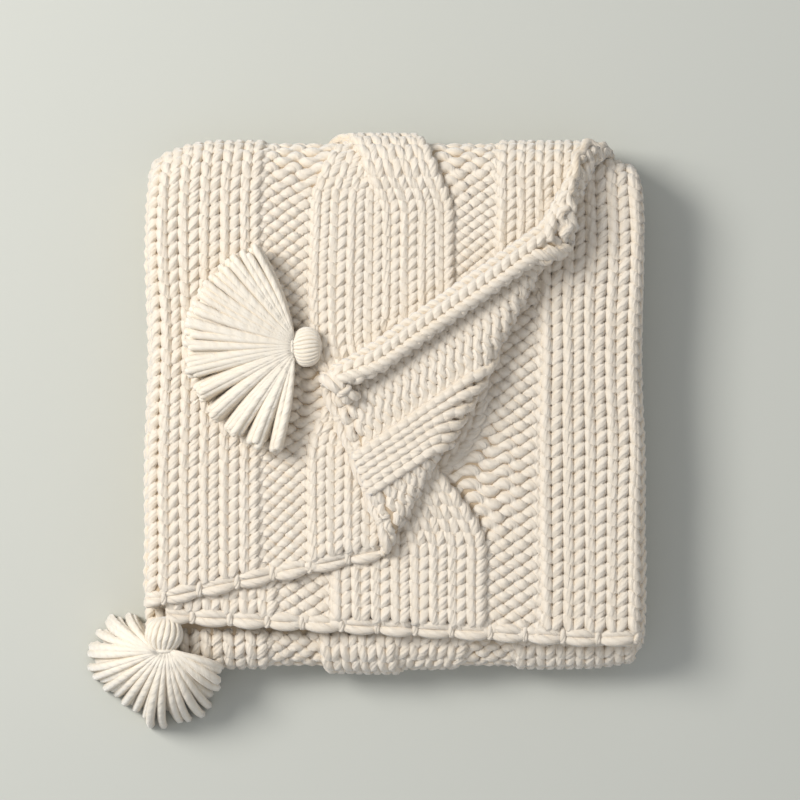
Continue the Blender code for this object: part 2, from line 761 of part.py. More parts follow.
def tassel_lower():
    """The tassel on the front left corner: it hangs over the front and its strands reach the surface."""
    sizes = LOWER
    neck = Vector((sizes["neck_x"], sizes["neck_y"], sizes["neck_z"]))

    def place_head(co):
        spot = head_point(co, sizes)
        return Vector((neck.x + spot.y, neck.y + sizes["length"] - spot.x, neck.z + spot.z))

    def strand_point(column, layer, run, across):
        angle = fan_angle(column, layer, sizes)
        length = sizes["radius"] - sizes["layer_step"] * (LAYERS - 1 - layer)
        length *= 1 - 0.03 * trimmed(column, layer)
        tip = Vector((neck.x + length * math.cos(angle), neck.y + length * math.sin(angle), 0))
        tip.z = smooth(*sizes["perch_angles"], angle) * sizes["perch"] + sizes["floor"]
        height = (layer - (LAYERS - 1) / 2) / (LAYERS / 2)
        side_way = (column + 0.5) / COLUMNS * 2 - 1
        root = neck + Vector((side_way * 8.4 * MM, 0.3 * MM, height * 7.6 * MM))
        middle = root.lerp(tip, 0.80)
        middle.z = neck.z + height * 7 * MM - 2 * MM
        fall = tip - middle
        tip.z += LOCK_HIGH / 2 * fall.xy.length / fall.length
        return lock_corner((root, middle, tip), run, across)

    return shape_tassel("tassel_lower", sizes, place_head, strand_point)


def wool(obj, name, colour):
    """A matt cream wool on the whole object."""
    material = bpy.data.materials.new(name)
    material.use_nodes = True
    surface = material.node_tree.nodes["Principled BSDF"]
    surface.inputs["Base Color"].default_value = (*colour, 1.0)
    surface.inputs["Roughness"].default_value = 0.92
    surface.inputs["Metallic"].default_value = 0.0
    obj.data.materials.append(material)


def stand_on_origin(objects):
    """Move all pieces so that the middle of their common box's bottom is the origin."""
    corners = [vert.co for obj in objects for vert in obj.data.vertices]
    low = Vector([min(co[axis] for co in corners) for axis in range(3)])
    high = Vector([max(co[axis] for co in corners) for axis in range(3)])
    shift = Vector(((low.x + high.x) / 2, (low.y + high.y) / 2, low.z))
    for obj in objects:
        for vert in obj.data.vertices:
            vert.co -= shift
    return shift


def main():
    """Build the throw and its two tassels."""
    clear_scene()
    throw = knitted_throw()
    upper = tassel_upper()
    lower = tassel_lower()
    wool(throw, "cream_wool_knit", (0.83, 0.76, 0.64))
    wool(upper, "cream_wool_tassel_upper", (0.86, 0.80, 0.69))
    wool(lower, "cream_wool_tassel_lower", (0.86, 0.80, 0.69))
    stand_on_origin([throw, upper, lower])


main()
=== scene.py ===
"""Cable knit throw: the knitting, hems and tassels of a folded throw, yarn by yarn.

The cloth is worked out flat first, in (u, c, w): u runs across its width from the free edge of
the top layer, c runs along its length from the front hem, and w runs through its thickness from
the wrong side to the right side. Each stitch is a loop of yarn in those measures, and carry()
takes its points onto the folds.
"""

import math
import random

import bmesh
import bpy
from mathutils import Matrix, Vector, noise


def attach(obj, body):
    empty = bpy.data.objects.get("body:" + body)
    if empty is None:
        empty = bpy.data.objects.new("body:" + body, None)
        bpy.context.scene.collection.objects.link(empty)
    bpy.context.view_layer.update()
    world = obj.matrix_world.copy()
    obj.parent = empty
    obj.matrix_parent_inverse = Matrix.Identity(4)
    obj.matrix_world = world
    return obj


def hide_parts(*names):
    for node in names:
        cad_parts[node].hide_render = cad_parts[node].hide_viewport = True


bl_info = {
    "name": "Cable Knit Throw",
    "version": (1, 0, 0),
    "blender": (4, 5, 0),
    "location": "View3D > Sidebar > Throw",
    "description": "Knits and dresses a folded cable knit throw with its tassels",
    "category": "Add Mesh",
}

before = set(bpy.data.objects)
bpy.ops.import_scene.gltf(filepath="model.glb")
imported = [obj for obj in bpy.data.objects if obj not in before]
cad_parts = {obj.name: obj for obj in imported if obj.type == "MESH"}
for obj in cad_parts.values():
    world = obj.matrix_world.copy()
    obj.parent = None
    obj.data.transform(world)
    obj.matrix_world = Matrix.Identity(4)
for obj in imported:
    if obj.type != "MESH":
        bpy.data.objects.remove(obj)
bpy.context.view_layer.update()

MM = 0.001

# Layout of the folded throw, seen from above: 1 px is one step of the layout grid
PX = 0.888 * MM
GRID_X = 395.0
GRID_Y = 404.0
GRID_WIDTH = 800  # steps that the camera sees
SHIFT = Vector((-24.779 * MM, -22.791 * MM, 0.0))  # the layout's place of the object's origin


def grid_x(px):
    """X of a layout column."""
    return (px - GRID_X) * PX


def grid_y(px):
    """Y of a layout row, which counts from the back."""
    return (GRID_Y - px) * PX


def named_rows(names, *rows):
    """A table of rows whose columns have names."""
    return [dict(zip(names, row)) for row in rows]


# Cloth
THICK = 8.2 * MM
LAYER_GAP = 0.6 * MM
PITCH = THICK + LAYER_GAP
STRIP = 2 * PITCH + THICK  # three layers, one folded strip
STRIP_PITCH = STRIP + LAYER_GAP
HEIGHT = 2 * STRIP_PITCH + STRIP

# Fold across the width: top layer, left turn, bottom layer, right turn, middle layer
LEFT_OUTER = grid_x(146)
RIGHT_OUTER = grid_x(645)
LEFT_RADIUS = PITCH
RIGHT_RADIUS = PITCH / 2
LEFT_AXIS = LEFT_OUTER + LEFT_RADIUS + THICK / 2
RIGHT_AXIS = RIGHT_OUTER - RIGHT_RADIUS - THICK / 2
U_LEFT = 430 * MM
U_BOTTOM = U_LEFT + math.pi * LEFT_RADIUS
U_RIGHT = U_BOTTOM + RIGHT_AXIS - LEFT_AXIS
U_MIDDLE = U_RIGHT + math.pi * RIGHT_RADIUS
U_END = U_MIDDLE + RIGHT_AXIS - grid_x(166)

# Fold along the length: top pass, turn over the back, bottom pass, front turn, inner pass
BACK_RADIUS = 20 * MM
FRONT_RADIUS = STRIP_PITCH / 2
BACK_AXIS = grid_y(140) - BACK_RADIUS - STRIP / 2
FRONT_AXIS = grid_y(671) + FRONT_RADIUS + STRIP / 2
C_ZERO = 240 * MM
C_BACK = BACK_AXIS + C_ZERO
C_DROP = C_BACK + math.pi / 2 * BACK_RADIUS
DROP = 2 * STRIP_PITCH - 2 * BACK_RADIUS
C_RISE = C_DROP + DROP
C_BOTTOM = C_RISE + math.pi / 2 * BACK_RADIUS
C_FRONT = C_BOTTOM + BACK_AXIS - FRONT_AXIS
C_INNER = C_FRONT + math.pi * FRONT_RADIUS
C_END = C_INNER + BACK_AXIS - FRONT_AXIS + 2 * MM

# Front hem: where the cast-on edge lies, layer by layer
HEM_ROWS = ((0.0, 502), (U_LEFT, 606), (U_BOTTOM, 609), (U_RIGHT, 651), (U_MIDDLE, 649), (U_END, 624))
HEM = [{"u": u, "c": grid_y(px) + C_ZERO} for u, px in HEM_ROWS]
HEM_BAND = 13.5 * MM  # from the hem to the first row of stitches
HEM_CENTRE = 7.2 * MM  # from the hem to the middle of its bound yarn
HEM_PITCH = 33 * MM  # length of a bump
HEM_STEPS = 18  # points in a bump
HEM_UNEVEN = 3 * MM
HEM_BUMP = {
    "start": 2 * MM,
    "fullness": 0.6,
    "gap": 1.0 * MM,
    "spread": 2.9 * MM,
    "sunk": 2.0 * MM,
    "rise": 3.6 * MM,
    "twist": 0.8 * MM,
    "thin": 0.5,
}
HEM_WRAP = {
    "steps": 14,
    "past": 0.8 * MM,
    "half_wide": 5.6 * MM,
    "half_high": 2.2 * MM,
    "lean": 0.9 * MM,
    "thin": 0.6,
}

# Free side edge of the top layer along the length
SIDE_ROWS = ((0.0, 601), (C_BACK, 612), (C_BOTTOM, 624), (C_FRONT, 638), (C_END, 634))
SIDE = [{"c": c, "x": grid_x(px)} for c, px in SIDE_ROWS]
SELVAGE = {"end": C_BACK + 45 * MM, "in": 2.2 * MM, "sway": 1.3 * MM, "wave": 1.2 * MM, "steps": 5}

# Stitch columns: the x of the edge before each column number, on the top and middle layers
TOP_EDGES = ((0, 600), (6, 491), (9, 447), (17, 308), (20, 258), (26, 137))
MIDDLE_EDGES = ((52, 674), (58, 541), (61, 486), (69, 332), (72, 275), (78, 165))
TOP_COLUMNS, MIDDLE_COLUMNS = (
    [{"column": column, "x": grid_x(px)} for column, px in edges] for edges in (TOP_EDGES, MIDDLE_EDGES)
)
BELOW_FROM = 40  # columns past this number are counted on the middle layer
REPEAT = 26  # columns: 6 knit, 3 purl, 8 cable, 3 purl, 6 knit
PURL_FROM, CABLE_FROM, CABLE_TO, PURL_TO = 6, 9, 17, 20
COLUMN = 17 * MM
ROW_HEIGHT = 12 * MM
TOP_ROWS = 31  # rows of stitches from the top layer's hem to the back turn
MIDDLE_ROWS = 34
EDGE_INSET = 1.5 * MM

# Cables
CABLE_HALF = 4  # columns that move over together
CABLE_PERIOD = 222 * MM
FRONT_CROSSING = (-66 * MM, 54 * MM)  # where the group in front moves over
REAR_CROSSING = (-54 * MM, 66 * MM)  # and the group behind
CROSSING_PULL = 33 * MM  # how far the purl beside a crossing is drawn towards it
PULL_LENGTH = 62 * MM
PULL_REACH = 1.5  # columns past the cable's edge that are drawn along
CLOSE_CROSSING = 30 * MM
RISE_LENGTH = 46 * MM
DROP_LENGTH = 40 * MM
TOP_CROSSING = grid_y(391) + C_ZERO
MIDDLE_CROSSING = grid_y(478) + C_ZERO
CABLE_RISE = 2.6 * MM
CABLE_ROUND = 0.55
CROSSING_RISE = 4.0 * MM
BEHIND = 3.5 * MM  # how far the group that crosses behind drops
PURL_DEPTH = 3.4 * MM
PURL_SLOPE = (0.15, 0.2)  # columns outside and inside the purl in which it sinks
PURL_LOOP = 0.29  # swing of a purl row's waves over its height
PURL_LIFT = 2.0 * MM
PURL_WAVE = 0.9 * MM
PURL_NECK = 0.7  # how much of a purl loop's neck its wave loses
PURL_PLUMP = (1.07, 0.05)  # a loop's thickness, and what its legs add to it
KNIT_PLUMP = (1.02, -0.04)
WAVE_PLUMP = 0.06
SHORT_LOOP = 0.35  # a loop's overlap in a row of no height
LOOP_UNEVEN = 0.05
ROW_UNEVEN = 0.5 * MM
STITCH_UNEVEN = 0.5 * MM
CLOTH_UNEVEN = 1.3 * MM

# Where a purl row's yarn leads on beneath the cable: columns, columns more at a crossing, and depth
TUCK = named_rows(
    ("reach", "more", "drop"), (0.3, 0.0, 0.5 * MM), (0.6, 0.3, 1.6 * MM), (0.8, 0.6, 3.8 * MM)
)

# How far each layer is knitted past what shows of it
PAST_LEFT_TURN = 12 * MM
PAST_SIDE_EDGE = 28 * MM
PAST_BACK = 4 * MM
PAST_BOTTOM = 8 * MM
PAST_INNER = 10 * MM
PAST_RIGHT_TURN = 10 * MM
PAST_TOP_LAYER = 16 * MM
PAST_MIDDLE_BACK = 45 * MM

# Turned-back corner of the top layer: its fold runs from the back edge to the front
FLAP_BACK = Vector((grid_x(600), C_BACK + 15 * MM))
FLAP_FRONT = Vector((grid_x(389), grid_y(556) + C_ZERO))
FLAP_RADIUS = 7.0 * MM
FLAP_REST = THICK + 4.5 * MM
FLAP_SETTLE = 70 * MM
FLAP_FADE = 14 * MM  # how much less the corner is turned back beyond the back edge
FLAP_FADE_BAND = (C_BACK - 5 * MM, C_BACK + 35 * MM)
FLAP_MARGIN = 3 * MM
ROLL_RADIUS = 10.5 * MM
ROLL_FLAT = 0.72  # height of the rolled edge over its width
ROLL_WIDTH = 43 * MM
ROLL_START = 10 * MM  # width of the roll where the fold begins
ROLL_END = C_BACK + 60 * MM
ROLL_TIP = 45 * MM
ROLL_TIP_SHARE = 0.2  # how much wider the roll is at its tip
RIM = 50 * MM

# Unevenness
CORNER_BAND = (150 * MM, 226 * MM)
CORNER_PULL = 15 * MM
CORNER_PUSH = 6 * MM
SIDE_BAND = (120 * MM, 220 * MM)
BACK_NARROWING = 0.022
BACK_BAND = (grid_y(250), grid_y(140))
FRONT_BAND = (grid_y(600), grid_y(672))
EDGE_WAVES = named_rows(("times", "phase", "size"), (19, 0.6, 1.6 * MM), (41, 0.0, 0.64 * MM))
PASS_WAVE = 2.2 * MM  # of the three passes at each side
PASS_TIMES = 95
PASS_SLANT = 5
PASS_PHASE = {"left": 1.0, "right": 2.6}
RIGHT_SHARE = 0.8
HEIGHT_WAVE = 0.018
HEIGHT_TIMES = (14, 12)
CORNER_SINK = 0.4

# Inner cloth
CLOTH_HALF = 1.1 * MM
CLOTH_INSET = 4 * MM
CLOTH_SINK = 1.7 * MM
CLOTH_STEP = 9 * MM
CLOTH_U = named_rows(
    ("end", "step"),
    (0.0, CLOTH_STEP), (U_LEFT, CLOTH_STEP), (U_BOTTOM, 3.5 * MM), (U_RIGHT, 24 * MM), (U_MIDDLE, 2.4 * MM),
    (U_END, CLOTH_STEP),
)
CLOTH_C = named_rows(
    ("end", "step"),
    (0.0, CLOTH_STEP), (C_BACK, CLOTH_STEP), (C_DROP, 5 * MM), (C_RISE, 8 * MM), (C_BOTTOM, 5 * MM),
    (C_FRONT, 24 * MM), (C_INNER, 4 * MM), (C_END, 24 * MM),
)

# Tassels
UPPER = {
    "neck": Vector((grid_x(293), grid_y(347), HEIGHT + 10.5 * MM)),
    "head_way": "x",
    "length": 25 * MM,
    "half_wide": 17.5 * MM,
    "half_high": 11 * MM,
    "neck_share": 0.62,
    "head_strands": 26,
    "head_yarn": 2.3 * MM,
    "head_twist": 0.25,
    "strands": 37,
    "yarn": 3.5 * MM,
    "lock_yarn": 0.3 * MM,
    "first_angle": math.radians(108),
    "fan": math.radians(155),
    "radius": 92 * MM,
    "root_side": 10.5 * MM,
    "root_height": 6.6 * MM,
    "arch": 8.8 * MM,
    "lowest_tip": HEIGHT + 3.6 * MM,
    "tip_step": 4.6 * MM,
    "locks": 11,
    "lock_band": (0.45, 0.62),
    "lock_draw": 0.45,
}
LOWER = {
    "neck": Vector((grid_x(163), grid_y(651.5), 2 * STRIP_PITCH + 12.6 * MM)),
    "head_way": "y",
    "length": 29 * MM,
    "half_wide": 16.8 * MM,
    "half_high": 13.5 * MM,
    "neck_share": 0.62,
    "head_strands": 17,
    "head_yarn": 3.1 * MM,
    "head_twist": 0.5,
    "strands": 23,
    "yarn": 4.0 * MM,
    "first_angle": math.radians(138),
    "fan": math.radians(206),
    "radius": 72 * MM,
    "root_side": 8.6 * MM,
    "root_height": 7.4 * MM,
    "arch": 7 * MM,
    "layer_step": 7.2 * MM,
    "perch_angles": (math.radians(314), math.radians(328)),
    "perch": 46 * MM,
}
# How far the lower tassel's strands reach, all the way round its fan
LOWER_REACH = [
    {"angle": math.radians(angle), "share": share}
    for angle, share in (
        (136, 0.58), (162, 0.86), (182, 1.03), (204, 1.0), (232, 0.9), (266, 0.99), (296, 0.92), (318, 0.82),
        (344, 0.76),
    )
]
FAN_LAYERS = 5
STRAND_BEND = 3 * MM
STRAND_STEPS = 10
STRAND_END = {"run": 1.03, "size": 0.6}  # its rounded end
HEAD_STEPS = 12
HEAD_REACH = 0.86  # how much of an egg's half length the head shows
TIE = {"turns": 2, "steps": 18, "share": 0.985, "width": 0.05, "sunk": 0.6 * MM, "yarn": 1.5 * MM}

# Stage
CAMERA_HEIGHT = 3.2
SENSOR = 36
FLOOR_LEVEL = -0.4 * MM
LIGHTS = {
    "window": {"place": (-2.0, 1.0, 2.2), "power": 91.0, "size": 1.2, "tint": (1.0, 0.98, 0.955)},
    "fill": {"place": (1.8, -1.2, 2.4), "power": 6.0, "size": 2.5, "tint": (0.97, 0.98, 1.0)},
}

FLOOR_GAP = 0.1 * MM
LOWEST_YARN = 3.6 * MM
STEPS = 12  # points of a stitch's yarn line
SIDES = 6  # sides of a yarn
KNIT_FLAT = 0.87  # height of a stitch's yarn over its width
YARN_UNEVEN = 0.07
TURN = 2 * math.pi
TINY = 1e-6


def smooth(low, high, value):
    """0 below low, 1 above high, and an eased step between."""
    part = min(1.0, max(0.0, (value - low) / (high - low)))
    return part * part * (3 - 2 * part)


def along(table, key, other, value, onward=False):
    """The column named other at this value of the column named key, read straight between rows.

    Beyond the table's ends it stays, or goes on at the end's slope where onward is set.
    """
    rows = sorted(table, key=lambda row: row[key])
    if not onward and value <= rows[0][key]:
        return rows[0][other]
    if not onward and value >= rows[-1][key]:
        return rows[-1][other]
    place = len(rows) - 2
    for index in range(len(rows) - 1):
        if value <= rows[index + 1][key]:
            place = index
            break
    before, after = rows[place], rows[place + 1]
    share = (value - before[key]) / (after[key] - before[key])
    return before[other] + share * (after[other] - before[other])


def top_u(x):
    """u of an x on the top layer."""
    return U_LEFT + LEFT_AXIS - x


def middle_u(x):
    """u of an x on the middle layer."""
    return U_MIDDLE + RIGHT_AXIS - x


def side_edge(c):
    """u of the top layer's free edge."""
    return top_u(along(SIDE, "c", "x", c))


def hem_edge(u):
    """c of the front hem."""
    return along(HEM, "u", "c", u)


def flap_frame():
    """A point on the fold's axis, and the way out over the folded part."""
    way = (FLAP_FRONT - FLAP_BACK).normalized()
    out = Vector((-way.y, way.x))
    return FLAP_BACK - out * (FLAP_RADIUS + THICK / 2), out


FLAP_ORIGIN, FLAP_OUT = flap_frame()


def past_flap(x, c):
    """How far a place on the top layer lies past the axis of the corner's fold."""
    past = (Vector((x, c)) - FLAP_ORIGIN).dot(FLAP_OUT)
    return past - FLAP_FADE * smooth(*FLAP_FADE_BAND, c)


def under_flap(x, c):
    """Whether the turned-back corner lies over this place of the top layer."""
    past = past_flap(x, c)
    if past > 0:
        return False
    there = Vector((x, c)) + FLAP_OUT * (math.pi * FLAP_RADIUS - 2 * past)
    inside_side = there.x < along(SIDE, "c", "x", there.y) + FLAP_MARGIN
    return inside_side and there.y > hem_edge(top_u(there.x)) - FLAP_MARGIN


def deep_under_flap(x, c):
    """Whether a place lies under the turned-back corner and well in from its rim."""
    return all(under_flap(x + dx, c + dc) for dx in (-RIM, RIM) for dc in (-RIM, RIM))


def roll_edge(u, c, height):
    """The free edge of the flap curls over its wrong side: shift along x, and new height."""
    past = past_flap(along(SIDE, "c", "x", c), c) - math.pi * FLAP_RADIUS
    reach = min(ROLL_WIDTH, past + ROLL_START) - (u - side_edge(c))
    if reach <= 0 or c > ROLL_END:
        return 0.0, height
    radius = ROLL_RADIUS / (1 - ROLL_TIP_SHARE * (1 - smooth(0.0, ROLL_TIP, c - hem_edge(0.0))))
    turn = reach / radius
    sunk = radius * ROLL_FLAT * (1 - math.cos(turn))
    return (radius + height) * math.sin(turn) - reach, height * math.cos(turn) - sunk


def fold_corner(x, c, height):
    """Carry a place of the top layer round the corner's fold: new x, c and rise over the layer."""
    past = past_flap(x, c)
    if past <= 0:
        return x, c, height
    if past < math.pi * FLAP_RADIUS:
        turn = past / FLAP_RADIUS
        reach = (FLAP_RADIUS - height) * math.sin(turn)
        rise = FLAP_RADIUS - FLAP_RADIUS * math.cos(turn) + height * math.cos(turn)
    else:
        beyond = past - math.pi * FLAP_RADIUS
        settle_share = smooth(0.0, FLAP_SETTLE, beyond)
        reach = -beyond
        rise = 2 * FLAP_RADIUS + (FLAP_REST - 2 * FLAP_RADIUS) * settle_share - height
    moved = Vector((x, c)) + FLAP_OUT * (reach - past)
    return moved.x, moved.y, rise


def across_width(u, c, w):
    """x, c and height in the strip for a place of the cloth."""
    height = w - THICK / 2
    top = STRIP - THICK / 2
    if u < U_LEFT:
        x = LEFT_AXIS + (U_LEFT - u)
        if c < C_RISE:
            moved, height = roll_edge(u, c, height)
            x, c, height = fold_corner(x + moved, c, height)
        return x, c, top + height
    if u < U_BOTTOM:
        turn = (u - U_LEFT) / LEFT_RADIUS
        out = LEFT_RADIUS + height
        return LEFT_AXIS - out * math.sin(turn), c, THICK / 2 + LEFT_RADIUS + out * math.cos(turn)
    if u < U_RIGHT:
        return LEFT_AXIS + (u - U_BOTTOM), c, THICK / 2 - height
    if u < U_MIDDLE:
        turn = (u - U_RIGHT) / RIGHT_RADIUS
        out = RIGHT_RADIUS + height
        return RIGHT_AXIS + out * math.sin(turn), c, THICK / 2 + RIGHT_RADIUS - out * math.cos(turn)
    return RIGHT_AXIS - (u - U_MIDDLE), c, THICK / 2 + PITCH + height


def along_length(c, height):
    """Y and Z of a place in the folded strip."""
    out = height - STRIP / 2
    high = 2 * STRIP_PITCH + STRIP / 2
    low = STRIP / 2
    if c < C_BACK:
        return c - C_ZERO, high + out
    if c < C_DROP:
        turn = (c - C_BACK) / BACK_RADIUS
        reach = BACK_RADIUS + out
        return BACK_AXIS + reach * math.sin(turn), high - BACK_RADIUS + reach * math.cos(turn)
    if c < C_RISE:
        return BACK_AXIS + BACK_RADIUS + out, high - BACK_RADIUS - (c - C_DROP)
    if c < C_BOTTOM:
        turn = (c - C_RISE) / BACK_RADIUS
        reach = BACK_RADIUS + out
        return BACK_AXIS + reach * math.cos(turn), low + BACK_RADIUS - reach * math.sin(turn)
    if c < C_FRONT:
        return BACK_AXIS - (c - C_BOTTOM), low - out
    if c < C_INNER:
        turn = (c - C_FRONT) / FRONT_RADIUS
        reach = FRONT_RADIUS + out
        return FRONT_AXIS - reach * math.sin(turn), low + FRONT_RADIUS - reach * math.cos(turn)
    return FRONT_AXIS + (c - C_INNER), low + STRIP_PITCH + out


def settle(x, y, z):
    """Soft unevenness of the whole fold: drawn-in corners, wavy sides and a gently uneven top."""
    back = smooth(*BACK_BAND, y)
    front = smooth(*FRONT_BAND, y)
    corner = smooth(*CORNER_BAND, abs(x))
    new_y = y - corner * corner * CORNER_PULL * back + corner * corner * CORNER_PUSH * front
    wave = sum(math.sin(y * row["times"] + row["phase"]) * row["size"] for row in EDGE_WAVES)
    wave += math.sin(z * PASS_TIMES + y * PASS_SLANT + PASS_PHASE["left" if x < 0 else "right"]) * PASS_WAVE
    new_x = x + wave * smooth(*SIDE_BAND, abs(x)) * (1 if x < 0 else -RIGHT_SHARE)
    new_x -= x * BACK_NARROWING * back * back
    swell = math.sin(x * HEIGHT_TIMES[0] + 1) * math.cos(y * HEIGHT_TIMES[1])
    return Vector((new_x, new_y, z * (1 + HEIGHT_WAVE * (swell - CORNER_SINK * corner))))


def carry(u, c, w):
    """Place of a point of the flat cloth on the folded throw."""
    x, c, height = across_width(u, c, w)
    y, z = along_length(c, height)
    return settle(x, y, z) - SHIFT


# Stitches


def drawn_out(c):
    """Width of the top layer's columns here over their width at the front hem."""
    return (U_LEFT - side_edge(c) - EDGE_INSET) / (U_LEFT - top_u(TOP_COLUMNS[0]["x"]))


def column_u(column, c):
    """u of a place counted in stitch columns."""
    if column > BELOW_FROM:
        return middle_u(along(MIDDLE_COLUMNS, "column", "x", column, onward=True))
    u = top_u(along(TOP_COLUMNS, "column", "x", column, onward=True))
    if u < U_LEFT:
        u = U_LEFT - (U_LEFT - u) * drawn_out(c)
    return u


def crossing_at(layer, row, column):
    """c of the crossing nearest to this row, in the cable of this column's repeat."""
    start = TOP_CROSSING if column < BELOW_FROM else MIDDLE_CROSSING
    cable = column - column % REPEAT + (CABLE_FROM + CABLE_TO) / 2
    c, _ = layer.lines.place(row, column_u(cable, 0.0))
    return start + CABLE_PERIOD * round((c - start) / CABLE_PERIOD)


def swapped(place, group, away):
    """Place of a cable's stitch once its group has moved over."""
    if group == 1:
        return place + CABLE_HALF * smooth(*FRONT_CROSSING, away)
    if group == 2:
        return place - CABLE_HALF * smooth(*REAR_CROSSING, away)
    return place


def kind_of(column):
    """Whether a column is knit (1) or purl (-1)."""
    place = column % REPEAT
    return -1 if PURL_FROM <= place < CABLE_FROM or CABLE_TO <= place < PURL_TO else 1


def cable_group(column):
    """0 outside a cable, 1 for the four columns that cross in front, 2 for those behind."""
    place = column % REPEAT - CABLE_FROM
    if not 0 <= place < CABLE_TO - CABLE_FROM:
        return 0
    return 1 if place < CABLE_HALF else 2


def pulled(column, away):
    """Shift in u that draws the purl beside a crossing towards it, most in the nearest column."""
    place = column % REPEAT
    near = 1 - smooth(0.0, PULL_LENGTH, abs(away))
    if PURL_FROM < place < CABLE_FROM + PULL_REACH:
        share = min(1.0, (place - PURL_FROM) / (CABLE_FROM - PURL_FROM))
        return CROSSING_PULL * near * share ** 2
    if CABLE_TO - PULL_REACH < place < PURL_TO:
        share = min(1.0, (PURL_TO - place) / (PURL_TO - CABLE_TO))
        return -CROSSING_PULL * near * share ** 2
    return 0.0


def purl_share(place, outer, inner):
    """1 in the purl and 0 outside, with a slope from outside its edges to inside."""
    share = 0.0
    for low, high in ((PURL_FROM, CABLE_FROM), (CABLE_TO, PURL_TO)):
        share += smooth(low - outer, low + inner, place) * (1 - smooth(high - inner, high + outer, place))
    return share


def level(column, away, group):
    """Height of the knitting's middle over the cloth's middle."""
    place = column % REPEAT
    if not group:
        return -PURL_DEPTH * purl_share(place, *PURL_SLOPE)
    across = min(1.0, max(-1.0, (place - CABLE_FROM) / (CABLE_TO - CABLE_FROM) * 2 - 1))
    rise = max(0.0, 1 - CABLE_ROUND * across * across) * CABLE_RISE
    if group == 1:
        return rise + CROSSING_RISE * math.exp(-((away / RISE_LENGTH) ** 2))
    return rise - BEHIND * math.exp(-((away / DROP_LENGTH) ** 2))


class Rows:
    """The rows of one layer: where each row lies and how tall its stitches are."""

    def __init__(self, count, last_c, folded_out):
        self.count = count
        self.beyond = []
        c = C_BACK
        while c < last_c:
            step = ROW_HEIGHT / self.stretch(c, folded_out)
            self.beyond.append((c + step / 2, step))
            c += step

    @staticmethod
    def stretch(c, folded_out):
        """How much longer the outer face is than the strip's middle, at a turn."""
        if C_BACK <= c < C_DROP or C_RISE <= c < C_BOTTOM:
            return 1 + folded_out / BACK_RADIUS
        if C_FRONT <= c < C_INNER:
            return 1 + folded_out / FRONT_RADIUS
        return 1.0

    def total(self):
        return self.count + len(self.beyond)

    def place(self, row, u):
        """c of a row's middle at this u, and the height of its stitches there."""
        if row < self.count:
            hem = hem_edge(u) + HEM_BAND
            step = (C_BACK - hem) / self.count
            return hem + step * (row + 0.5), step
        return self.beyond[min(row, self.total() - 1) - self.count]


TOP_LINES = Rows(TOP_ROWS, C_END, PITCH)
MIDDLE_LINES = Rows(MIDDLE_ROWS, C_END, 0.0)
ROWS_ABOVE = TOP_ROWS + sum(1 for c, _ in TOP_LINES.beyond if c < C_BOTTOM)  # down to the bottom pass


def bare_middle(u, c, margin):
    """Whether the middle layer shows beside the top layer, or lies within a margin of that."""
    x = RIGHT_AXIS - (u - U_MIDDLE)
    beside = past_flap(x, c) - FLAP_RADIUS - THICK / 2
    before = hem_edge(top_u(x)) - c if x < FLAP_FRONT.x + 4 * FLAP_RADIUS else -1.0
    return max(beside, before) > -margin


def top_shows(u, c):
    """Whether a stitch of the top layer can be seen."""
    near_left = u > U_LEFT - PAST_LEFT_TURN
    near_side = u < side_edge(c) + PAST_SIDE_EDGE
    on_top = c < C_BACK + PAST_BACK and not deep_under_flap(LEFT_AXIS + U_LEFT - u, c)
    over_back = C_BACK + PAST_BACK <= c < C_BOTTOM + PAST_BOTTOM
    over_front = C_FRONT - PAST_BOTTOM < c < C_INNER + PAST_INNER
    return near_left or near_side or on_top or over_back or over_front


def middle_shows(u, c):
    """Whether a stitch of the middle layer can be seen."""
    near_right = u < U_MIDDLE + PAST_RIGHT_TURN
    on_top = c < C_BACK and bare_middle(u, c, PAST_TOP_LAYER)
    over_back = C_BACK <= c < C_BOTTOM and u < U_MIDDLE + PAST_MIDDLE_BACK
    return near_right or on_top or over_back


class Layer:
    """One family of stitches: its rows, its columns and what of it shows."""

    def __init__(self, lines, first, last, shows):
        self.lines = lines
        self.first = first
        self.last = last
        self.shows = shows


TOP_LAYER = Layer(TOP_LINES, 0, 28, top_shows)
MIDDLE_LAYER = Layer(MIDDLE_LINES, 51, 78, middle_shows)


